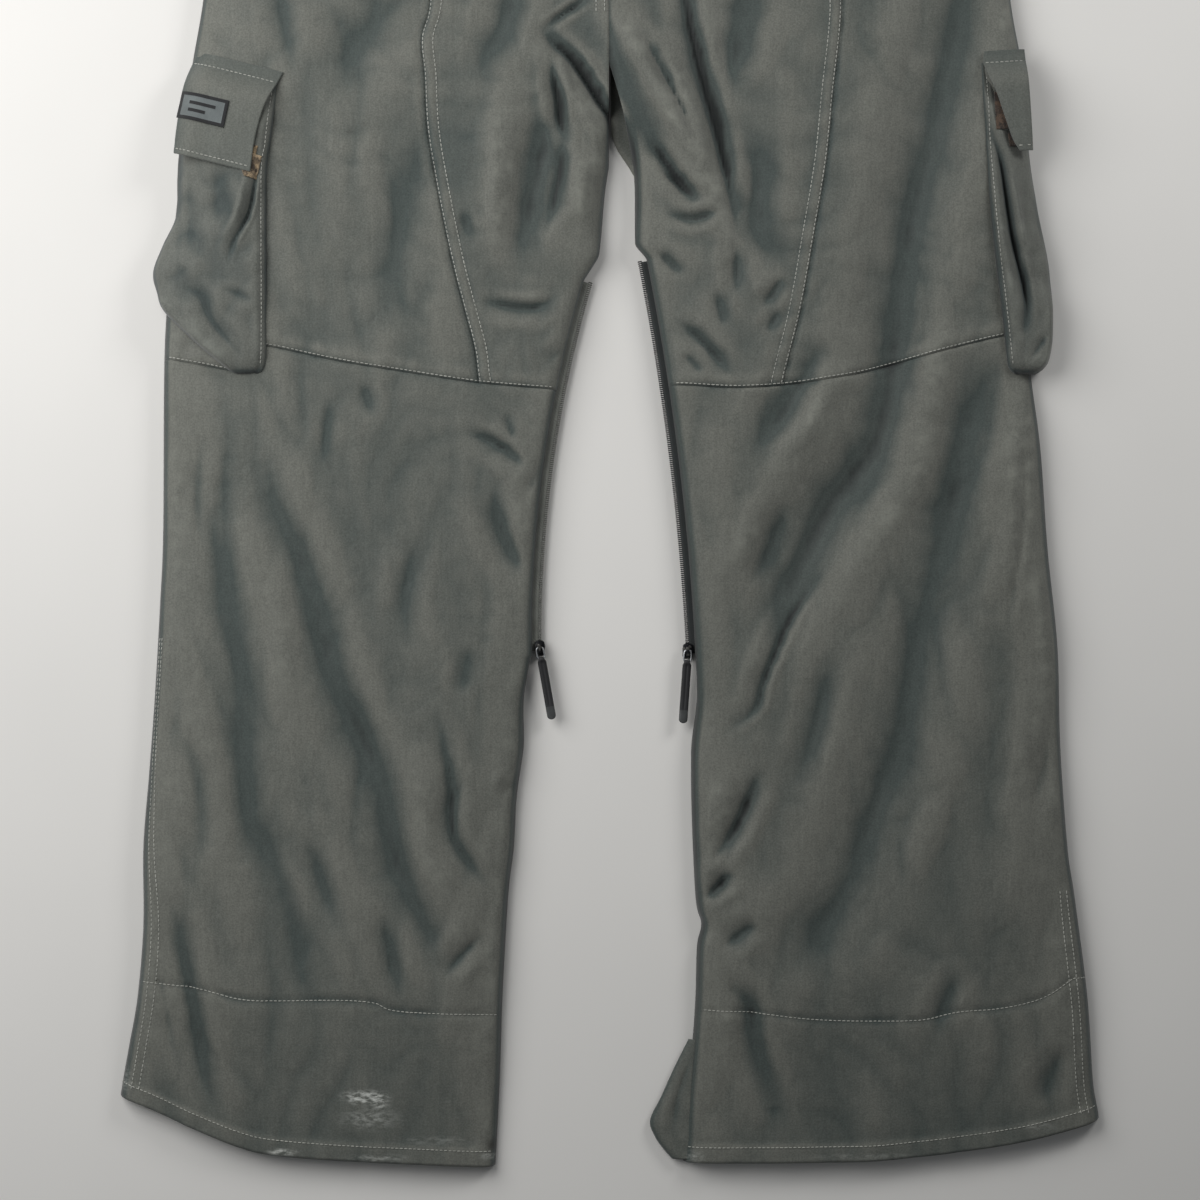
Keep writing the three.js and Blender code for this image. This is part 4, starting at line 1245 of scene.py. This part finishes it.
class TROUSERS_OT_pockets(Maker):
    """Cargo pocket bags, flaps, fastening strips and the label"""

    bl_idname = "trousers.pockets"
    bl_label = "Cargo pockets"

    def build(self):
        for side in SIDES:
            self.bag(side)
            self.flap(side)
            self.strips(side)
        self.label()

    def bag(self, side):
        shape = BAG[side]
        edge, sewn = reader(shape["side"]), reader(shape["sewn"])
        left, right = ordered(side, edge, sewn)
        low, high = shape["ends"]
        count = 56 if side == "left" else 40
        x, y = grid(left, right, always(low), always(high), count, 120)
        z = bag_height(side, x, y)
        piece = sheet_from(f"{side}_pocket_bag_cloth", x, y, z, 1.6)
        # The bag takes the darker copy of the shell cloth: painted shade.
        dress(piece, fabric_of("pocket"))
        declare(piece, "garment", [f"{side}_pocket_bag"])

    def flap(self, side):
        shape = FLAP[side]
        near, far = reader(shape["near"]), reader(shape["far"])
        v, s = np.meshgrid(np.linspace(0, 1, 46), np.linspace(shape["length"], 0, 56))
        u = near(s) * (1 - v) + far(s) * v
        x, y = on_flap(side, u, s)
        z = flap_height(side, u, s)
        # The flap gets about a third of the painted shade.
        piece = sheet_from(f"{side}_pocket_flap_cloth", x, y, z, 2.3, 0.35)
        soft_edges(piece, 0.9)
        dress(piece, fabric_of("cloth"))
        declare(piece, f"{side}_flap", [f"{side}_pocket_flap"])

    def strips(self, side):
        """The hook strip sewn under the flap and the loop strip on the bag, worn at their ends."""
        spans = {
            "left": {"hook": (14, 60.5, 55, 67), "loop": (14, 65, 61, 73)},
            "right": {"hook": (3.5, 17, 30, 56), "loop": (12, 22, 58, 68)},
        }[side]
        for key, body, node in (
            ("hook", f"{side}_flap", f"{side}_flap_hook_strip"),
            ("loop", "garment", f"{side}_pocket_loop_strip"),
        ):
            near, far, high, low = spans[key]
            v, s = np.meshgrid(
                np.linspace(0, 1, round((far - near) / 0.7)), np.linspace(low, high, round((low - high) / 0.7)),
            )
            u = near + (far - near) * v + 0.5 * noise(s / 2.2, v, 78) * (v > 0.9)
            if side == "left" and key == "loop":
                s = s + 4.5 * step(v, 0.76, 0.84) * (s - high) / (low - high)
            x, y = on_flap(side, u, s)
            if key == "loop":
                z = bag_height(side, x, y) + 0.95
            else:
                z = flap_height(side, u, s) - 2.45
            z = z + 0.12 * noise(x / 2.5, y / 2.5, 77)
            piece = sheet_from(node + "_pile", x, y, z, 0.8)
            dress(piece, fabric_of(key if side == "left" else "worn hook"))
            declare(piece, body, [node])

    def label(self):
        v, s = np.meshgrid(np.linspace(-1.5, 34, 60), np.linspace(49, 30, 34))
        u = v + 0.04 * (s - 30)
        x, y = on_flap("left", u, s)
        z = flap_height("left", u, s) + 0.75
        border = (v < 1.2) | (v > 31.0) | (s > 46.2) | (s < 32.8)
        long_bar = (np.abs(s - 36.8) < 1.5) & (v < 26)
        short_bar = (np.abs(s - 42.0) < 1.5) & (v < 19)
        bars = (v > 6) & (long_bar | short_bar)
        z = z + np.where(border, 0.25, 0) + np.where(bars, 0.2, 0)
        piece = sheet_from("left_flap_label_patch", x, y, z, 0.9)
        dress(piece, fabric_of("label"))
        piece.data.materials.append(fabric_of("label ink"))
        inked = border | bars
        quads = inked[:-1, :-1] & inked[1:, 1:] & inked[:-1, 1:] & inked[1:, :-1]
        chosen = np.zeros(len(piece.data.polygons), np.int32)
        chosen[: quads.size] = quads.ravel()
        chosen[2 * quads.size:] = 1
        piece.data.polygons.foreach_set("material_index", chosen)
        declare(piece, "left_flap", ["left_flap_label"])


# ---------------------------------------------------------------- inner-leg vents


def vent_path(side, t, out=0.0):
    """X and Y on the vent's arc; t from 0 to 1, out in millimetres away from the leg."""
    cx, cy, radius, start, end = ARC[side]
    angle = start + (end - start) * np.asarray(t, float)
    reach = radius - out
    return cx + reach * np.cos(angle), cy + reach * np.sin(angle)


def slider_centre(side):
    low, high = (Vector(c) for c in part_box(f"{side}_vent_slider"))
    return (low + high) / 2


class TROUSERS_OT_vents(Maker):
    """Inner-leg zips: tapes, coils, sliders, wire rings and pull tabs"""

    bl_idname = "trousers.vents"
    bl_label = "Inner-leg vents"

    def build(self):
        for side in SIDES:
            self.tapes(side)
            self.coil(side)
            self.slider(side)
            self.pull(side)

    def tapes(self, side):
        t = np.linspace(0.012, 0.984, 120)
        for part, z in (("front", 3.75), ("back", 5.75)):
            out, along = np.meshgrid(np.linspace(-14, 0.2, 9), t)
            x, y = vent_path(side, along, out)
            if side == "right":
                x, y, out = x[:, ::-1], y[:, ::-1], out[:, ::-1]
            height = z + 0.1 * noise(x / 5, y / 9, 55)
            piece = sheet_from(f"{side}_vent_{part}_tape_woven", x, y, height, 0.9)
            # The left tapes take the pale copy: painted light against the shade at the cloth's edge.
            dress(piece, fabric_of("pale tape" if side == "left" else "tape"))
            declare(piece, "garment", [f"{side}_vent_{part}_tape"])

    def coil(self, side):
        t = np.linspace(0.004, 0.986, 200)
        rows = []
        for out, z in ((0.5, 4.6), (1.8, 4.6)):
            x, y = vent_path(side, t, out)
            rows.append(np.column_stack([x, y, np.full_like(x, z)]))
        # The left coil takes the pale copy: painted light against the shade at the cloth's edge.
        repeats(
            f"{side}_vent_coil_turns", rows, "garment",
            fabric_of("pale coil" if side == "left" else "coil"), "zip_coil",
            nodes=[f"{side}_vent_coil"], pitch=sizes().tooth_pitch / MM, length=1.15, width=1.9,
            depth=2.7, unevenness=0.03, seed=5,
        )

    def slider(self, side):
        centre = slider_centre(side)
        body = bmesh.new()
        outline = [
            (-2.6, -5.4), (2.6, -5.4), (3.4, -3.6), (3.9, 1.5), (3.3, 4.6), (1.6, 5.6), (-1.6, 5.6),
            (-3.3, 4.6), (-3.9, 1.5), (-3.4, -3.6),
        ]
        for z0, z1 in ((1.6, 2.75), (6.5, 7.7)):
            ring0 = [body.verts.new((x, y, z0)) for x, y in outline]
            ring1 = [body.verts.new((x * 0.94, y * 0.96, z1)) for x, y in outline]
            body.faces.new(ring0[::-1])
            body.faces.new(ring1)
            for i in range(len(outline)):
                j = (i + 1) % len(outline)
                body.faces.new((ring0[i], ring0[j], ring1[j], ring1[i]))
        for size, place in (
            ((1.1, 7.0, 3.9), (SIGN[side] * -3.1, -0.4, 4.62)),
            ((2.2, 1.2, 2.6), (0, 2.6, 8.9)),
            ((2.2, 1.2, 2.6), (0, -2.6, 8.9)),
            ((2.2, 6.4, 1.1), (0, 0, 10.6)),
        ):
            made = bmesh.ops.create_cube(body, size=1)["verts"]
            bmesh.ops.scale(body, vec=size, verts=made)
            bmesh.ops.translate(body, vec=place, verts=made)
        bmesh.ops.scale(body, vec=(MM, MM, MM), verts=body.verts)
        bmesh.ops.translate(body, vec=(centre.x, centre.y, 0), verts=body.verts)
        mesh = bpy.data.meshes.new(f"{side}_vent_slider_body")
        body.to_mesh(mesh)
        body.free()
        piece = linked(mesh.name, mesh)
        finished(piece, ("BEVEL", {"width": 0.00035, "segments": 3, "angle_limit": 0.6}))
        piece.data.polygons.foreach_set("use_smooth", np.ones(len(piece.data.polygons), bool))
        dress(piece, fabric_of("slider"))
        declare(piece, f"{side}_vent_runner", [f"{side}_vent_slider"])

    def pull(self, side):
        centre = slider_centre(side)
        turn = math.radians(10 if side == "left" else -4)
        drop = math.radians(1)

        def hang(points):
            out = []
            for x, y, z in points:
                y, z = y * math.cos(drop) - z * math.sin(drop), y * math.sin(drop) + z * math.cos(drop)
                x, y = x * math.cos(turn) - y * math.sin(turn), x * math.sin(turn) + y * math.cos(turn)
                out.append((centre.x + x * MM, centre.y + (y + 0.6) * MM, (z + 8.1) * MM))
            return out

        wire = [
            (-2.5, 0.0, 1.3), (-2.6, -4, 1.3), (-2.6, -7.8, 1.3), (0, -8.6, 1.3), (2.6, -7.8, 1.3),
            (2.6, -4, 1.3), (2.5, 0.0, 1.3), (0, 0.15, 1.3),
        ]
        ring = tube(f"{side}_vent_wire_ring", hang(wire), 0.62 * MM, closed=True)
        dress(ring, fabric_of("wire"))
        declare(ring, f"{side}_vent_pull", [f"{side}_vent_pull_ring"])
        columns, rows = 15, 84
        v, t = np.meshgrid(np.linspace(-1, 1, columns), np.linspace(1, 0, rows))
        along = -6.6 - 44.5 * t
        taper = np.sqrt(np.clip(1 - (np.clip(t - 0.94, 0, 1) / 0.062) ** 2, 0.02, 1))
        neck = 0.62 + 0.38 * step(t, 0.02, 0.09)
        half = 3.05 * taper * neck
        edge = np.sqrt(np.clip(1 - np.abs(v) ** 3, 0, 1))
        thick = (0.45 + 0.85 * edge) * (1 + 0.35 * np.exp(-(((t - 0.045) / 0.03) ** 2)))
        sag = 0.5 * np.sin(t * math.pi)
        top = np.stack([v * half, along, 1.3 + thick - sag], -1)
        under = np.stack([v * half, along, 1.3 - thick - sag], -1)
        groove = 0.35 * np.exp(-((v / 0.16) ** 2)) * step(t, 0.06, 0.1) * step(-t, -0.8, -0.74)
        top[..., 2] -= groove
        tab = shell(f"{side}_vent_pull_webbing", top, under)
        flat = np.vstack([top.reshape(-1, 3), under.reshape(-1, 3)])
        tab.data.vertices.foreach_set("co", np.array(hang(flat), np.float32).ravel())
        tab.data.update()
        dress(tab, fabric_of("pull"))
        tab.data.materials.append(fabric_of("pull tip"))
        cells = (t[:-1, :-1] > 0.80).ravel()
        chosen = np.zeros(len(tab.data.polygons), np.int32)
        chosen[: cells.size] = cells
        chosen[cells.size: 2 * cells.size] = cells
        tab.data.polygons.foreach_set("material_index", chosen)
        declare(tab, f"{side}_vent_pull", [f"{side}_vent_pull_tab"])


def tube(name, points, radius, closed=False):
    """A round wire along a smooth line through the points, in metres."""
    curve = bpy.data.curves.new(name, "CURVE")
    curve.dimensions = "3D"
    curve.bevel_depth = radius
    curve.bevel_resolution = 4
    curve.resolution_u = 8
    spline = curve.splines.new("NURBS")
    spline.points.add(len(points) - 1)
    for point, place in zip(spline.points, points):
        point.co = (*place, 1)
    spline.use_cyclic_u = closed
    spline.order_u = 4
    return meshed(linked(name + "_path", curve), name)


# ---------------------------------------------------------------- waist


def band_height(x, y):
    d = np.minimum(x - outer_line["left"](y), outer_line["right"](y) - x)
    z = 7.5 + 11.0 * (0.5 * rounded(d, 12) + 0.5 * rounded(d, 60))
    gather = 0.7 * noise(x / 7, y / 80, 33) * step(np.abs(x), 60, 110)
    return z + 0.6 * noise(x / 45, y / 60, 34) + gather


class TROUSERS_OT_waist(Maker):
    """Waistband, belt loops, fly and snap"""

    bl_idname = "trousers.waist"
    bl_label = "Waist and fly"

    def build(self):
        self.back_band()
        self.front_bands()
        self.loops()
        self.fly()
        for node in ("waist_snap_cap", "waist_snap_socket"):
            dress(frame["nodes"][node], fabric_of("snap"))
        dress(frame["nodes"]["fly_slider"], fabric_of("slider"))

    def back_band(self):
        x, y = grid(
            outer_line["left"], outer_line["right"], always(WAIST_SEAM + 0.2), always(WAIST_TOP), 200, 22,
        )
        edge = np.minimum(y - WAIST_SEAM, WAIST_TOP - y)
        z = band_height(x, y) - 1.2 * (1 - rounded(edge, 2.4))
        piece = sheet_from("waistband_back_cloth", x, y, z, 3.0)
        soft_edges(piece, 1.0)
        dress(piece, fabric_of("waist"))
        declare(piece, "garment", ["waistband_back"])

    def front_bands(self):
        for node in ("waistband_front_left", "waistband_front_right"):
            low, high = garment_box(node)
            outer = outer_line["left" if node.endswith("left") else "right"]
            if node.endswith("left"):
                left, right = (lambda y: outer(y) + 2), always(high[0])
            else:
                left, right = always(low[0]), (lambda y: outer(y) - 2)
            x, y = grid(left, right, always(WAIST_SEAM + 0.2), always(WAIST_TOP), 90, 14)
            base = 4.6 + (5.0 * step(-x, -50, -28) if node.endswith("right") else 0)
            z = base + 0.15 * noise(x / 12, y / 20, 36)
            piece = sheet_from(node + "_cloth", x, y, z, 2.8)
            soft_edges(piece, 0.8)
            dress(piece, fabric_of("waist"))
            declare(piece, "garment", [node])

    def loops(self):
        for name in ("back_left", "back_centre", "back_right", "front_left", "front_right"):
            node = f"belt_loop_{name}"
            low, high = garment_box(node)
            x, y = grid(always(low[0]), always(high[0]), always(low[1]), always(high[1]), 11, 44)
            across = (x - low[0]) / (high[0] - low[0]) * 2 - 1
            along = (y - low[1]) / (high[1] - low[1])
            ridge = 0.35 * (1 - across**4) - 0.25 * np.exp(-(((np.abs(across) - 0.7) / 0.1) ** 2))
            if name.startswith("back"):
                arch = 1.3 * np.sin(np.clip(along, 0, 1) * math.pi) ** 0.5
                z = np.maximum(band_height(x, np.clip(y, WAIST_SEAM, WAIST_TOP)), 0) + 1.5 + arch + ridge
            else:
                z = high[2] + 0 * x - 0.2 + ridge * 0.3
            piece = sheet_from(f"{node}_strap", x, y, z, 1.3)
            dress(piece, fabric_of("waist"))
            declare(piece, "garment", [node])

    def fly(self):
        for part in ("left", "right"):
            low, high = garment_box(f"fly_tape_{part}")
            x, y = grid(always(low[0]), always(high[0]), always(low[1]), always(high[1]), 10, 60)
            z = high[2] + 0.1 * noise(x / 4, y / 7, 37)
            piece = sheet_from(f"fly_tape_{part}_woven", x, y, z, 0.9)
            dress(piece, fabric_of("tape"))
            declare(piece, "garment", [f"fly_tape_{part}"])
        low, high = garment_box("fly_coil")
        y = np.linspace(low[1] + 0.5, high[1] - 0.5, 60)
        rows = [np.column_stack([0 * y + dx, y, 0 * y + 3.15]) for dx in (-0.7, 0.7)]
        repeats(
            "fly_coil_turns", rows, "garment", fabric_of("coil"), "zip_coil", nodes=["fly_coil"],
            pitch=sizes().tooth_pitch / MM, length=1.1, width=1.6, depth=1.7, unevenness=0.03, seed=9,
        )


# ---------------------------------------------------------------- stitching


class TROUSERS_OT_stitching(Maker):
    """Rows of topstitching on the panels, hems, pockets, flaps and waistband"""

    bl_idname = "trousers.stitching"
    bl_label = "Topstitching"

    def build(self):
        for side in SIDES:
            self.leg_rows(side)
            self.flap_rows(side)
        self.waist_rows()

    def leg_rows(self, side):
        sign = SIGN[side]

        def over(points):
            return raised(points, lambda x, y: back_height(side, x, y), 0.2)

        seam, knee, hem = seam_line[side], knee_line[side], hem_line[side]
        outer, row = outer_line[side], gaiter_row[side]
        y = np.arange(float(knee(seam(550.0))) + 3, WAIST_SEAM - 2, STITCH_STEP)
        rows = [over(np.column_stack([seam(y) - sign * d, y])) for d in (1.0, 8.2)]
        stitches(f"{side}_thigh_seam_stitches", rows)
        low, high = sorted((float(outer(575)), float(cloth_inner(side, 548))))
        x = np.arange(low + 6, high - 4, STITCH_STEP)
        rows = [over(np.column_stack([x, knee(x) + 1.8]))]
        stitches(f"{side}_knee_seam_stitches", rows)
        low, high = sorted((float(outer(115)), float(cloth_inner(side, 110))))
        x = np.arange(low + 7, high - 3, STITCH_STEP)
        stitches(f"{side}_gaiter_row_stitches", [over(np.column_stack([x, row(x)]))])
        low, high = sorted((float(outer(35)), float(cloth_inner(side, 8))))
        x = np.arange(low + 4, high - 4, STITCH_STEP)
        stitches(f"{side}_hem_stitches", [over(np.column_stack([x, hem(x) + 11.0]))])
        y = np.arange(float(hem(outer(40.0))) + 6, 372 if side == "left" else 196, STITCH_STEP)
        inset = 1 - 0.68 * step(y, 140, 330)
        rows = [over(np.column_stack([outer(y) - sign * d * inset, y])) for d in (8.0, 13.5)]
        stitches(f"{side}_side_seam_stitches", rows)
        if side == "left":
            y = np.arange(CROTCH + 20, WAIST_SEAM - 2, STITCH_STEP)
            rows = [over(np.column_stack([0 * y - d, y])) for d in (3.0, 9.0)]
            stitches("seat_seam_stitches", rows)
        sewn = reader(BAG[side]["sewn"])
        y = np.arange(BAG[side]["ends"][0] + 8, BAG[side]["ends"][1], STITCH_STEP)
        places = np.column_stack([sewn(y) + sign * 3.2, y])
        stitches(f"{side}_pocket_stitches", [raised(places, lambda x, y: bag_height(side, x, y), 0.15)])

    def flap_rows(self, side):
        shape = FLAP[side]
        near, far = reader(shape["near"]), reader(shape["far"])
        rows = []
        for s in (8.5, shape["length"] - 3.5):
            u = np.arange(float(near(s)) + 2.5, float(far(s)) - 2.5, STITCH_STEP)
            if len(u) > 2:
                rows.append(self.on_top(side, u, 0 * u + s))
        stitches(f"{side}_flap_stitches", rows, body=f"{side}_flap")

    def on_top(self, side, u, s):
        x, y = on_flap(side, u, s)
        return np.column_stack([x, y, flap_height(side, u, s) + 0.18])

    def waist_rows(self):
        rows = []
        for y in (WAIST_SEAM + 3, WAIST_TOP - 3.5):
            x = np.arange(float(outer_line["left"](y)) + 7, float(outer_line["right"](y)) - 7, STITCH_STEP)
            places = np.column_stack([x, 0 * x + y])
            rows.append(raised(places, band_height, 0.1))
        stitches("waistband_stitches", rows)


class TROUSERS_OT_stage(Maker):
    """Pale floor, soft studio light and the camera straight above"""

    bl_idname = "trousers.stage"
    bl_label = "Stage"

    def build(self):
        half, depth = 6.0, -0.0004
        corners = [(-half, -half, depth), (half, -half, depth), (half, half, depth), (-half, half, depth)]
        floor = new_mesh("floor", corners, [(0, 1, 2, 3)])
        dress(floor, fabric_of("floor"))
        self.light("key", (0.95, 0.75, 0.82), (0.0, 0.15, 0.0), 0.5, 6.6)
        self.light("fill", (-0.85, 0.42, 0.86), (-0.3, 0.1, 0.0), 1.1, 15.8)
        world_shader = bpy.data.worlds.new("studio")
        world_shader.use_nodes = True
        background = world_shader.node_tree.nodes["Background"]
        background.inputs["Color"].default_value = (0.92, 0.96, 1.0, 1)
        background.inputs["Strength"].default_value = 0.13
        scene = bpy.context.scene
        scene.world = world_shader
        scene.view_settings.view_transform = "Standard"
        camera = bpy.data.cameras.new("above")
        height, seen = 2.1, 0.840
        camera.sensor_width = 36
        camera.lens = 36 * (height - 0.015) / seen
        holder = bpy.data.objects.new("above", camera)
        holder.location = ((-6.3 + SHIFT_X) * MM, (399 + SHIFT_Y) * MM, height)
        scene.collection.objects.link(holder)
        scene.camera = holder

    def light(self, name, place, target, size, power):
        lamp = bpy.data.lights.new(name, "AREA")
        lamp.shape = "SQUARE"
        lamp.size = size
        lamp.energy = power
        holder = bpy.data.objects.new(name, lamp)
        holder.location = place
        direction = Vector(target) - Vector(place)
        holder.rotation_euler = direction.to_track_quat("-Z", "Y").to_euler()
        bpy.context.scene.collection.objects.link(holder)


class TROUSERS_PT_panel(bpy.types.Panel):
    """Lists the operators"""

    bl_label = "Snow trousers"
    bl_idname = "TROUSERS_PT_panel"
    bl_space_type = "VIEW_3D"
    bl_region_type = "UI"
    bl_category = "Trousers"

    def draw(self, context):
        for group in (context.scene.trouser_sizes, context.scene.trouser_looks):
            for key in group.bl_rna.properties.keys():
                if key not in ("rna_type", "name"):
                    self.layout.prop(group, key)
        for operator in OPERATORS:
            self.layout.operator(operator.bl_idname)


OPERATORS = (
    TROUSERS_OT_legs,
    TROUSERS_OT_hems,
    TROUSERS_OT_pockets,
    TROUSERS_OT_vents,
    TROUSERS_OT_waist,
    TROUSERS_OT_stitching,
    TROUSERS_OT_stage,
)
CLASSES = (TrouserLooks, TrouserSizes, *OPERATORS, TROUSERS_PT_panel)


def register():
    for item in CLASSES:
        bpy.utils.register_class(item)
    bpy.types.Scene.trouser_looks = PointerProperty(type=TrouserLooks)
    bpy.types.Scene.trouser_sizes = PointerProperty(type=TrouserSizes)


def unregister():
    del bpy.types.Scene.trouser_sizes
    del bpy.types.Scene.trouser_looks
    for item in reversed(CLASSES):
        bpy.utils.unregister_class(item)


def main():
    register()
    for operator in OPERATORS:
        group, name = operator.bl_idname.split(".")
        getattr(getattr(bpy.ops, group), name)()


if __name__ == "__main__":
    main()
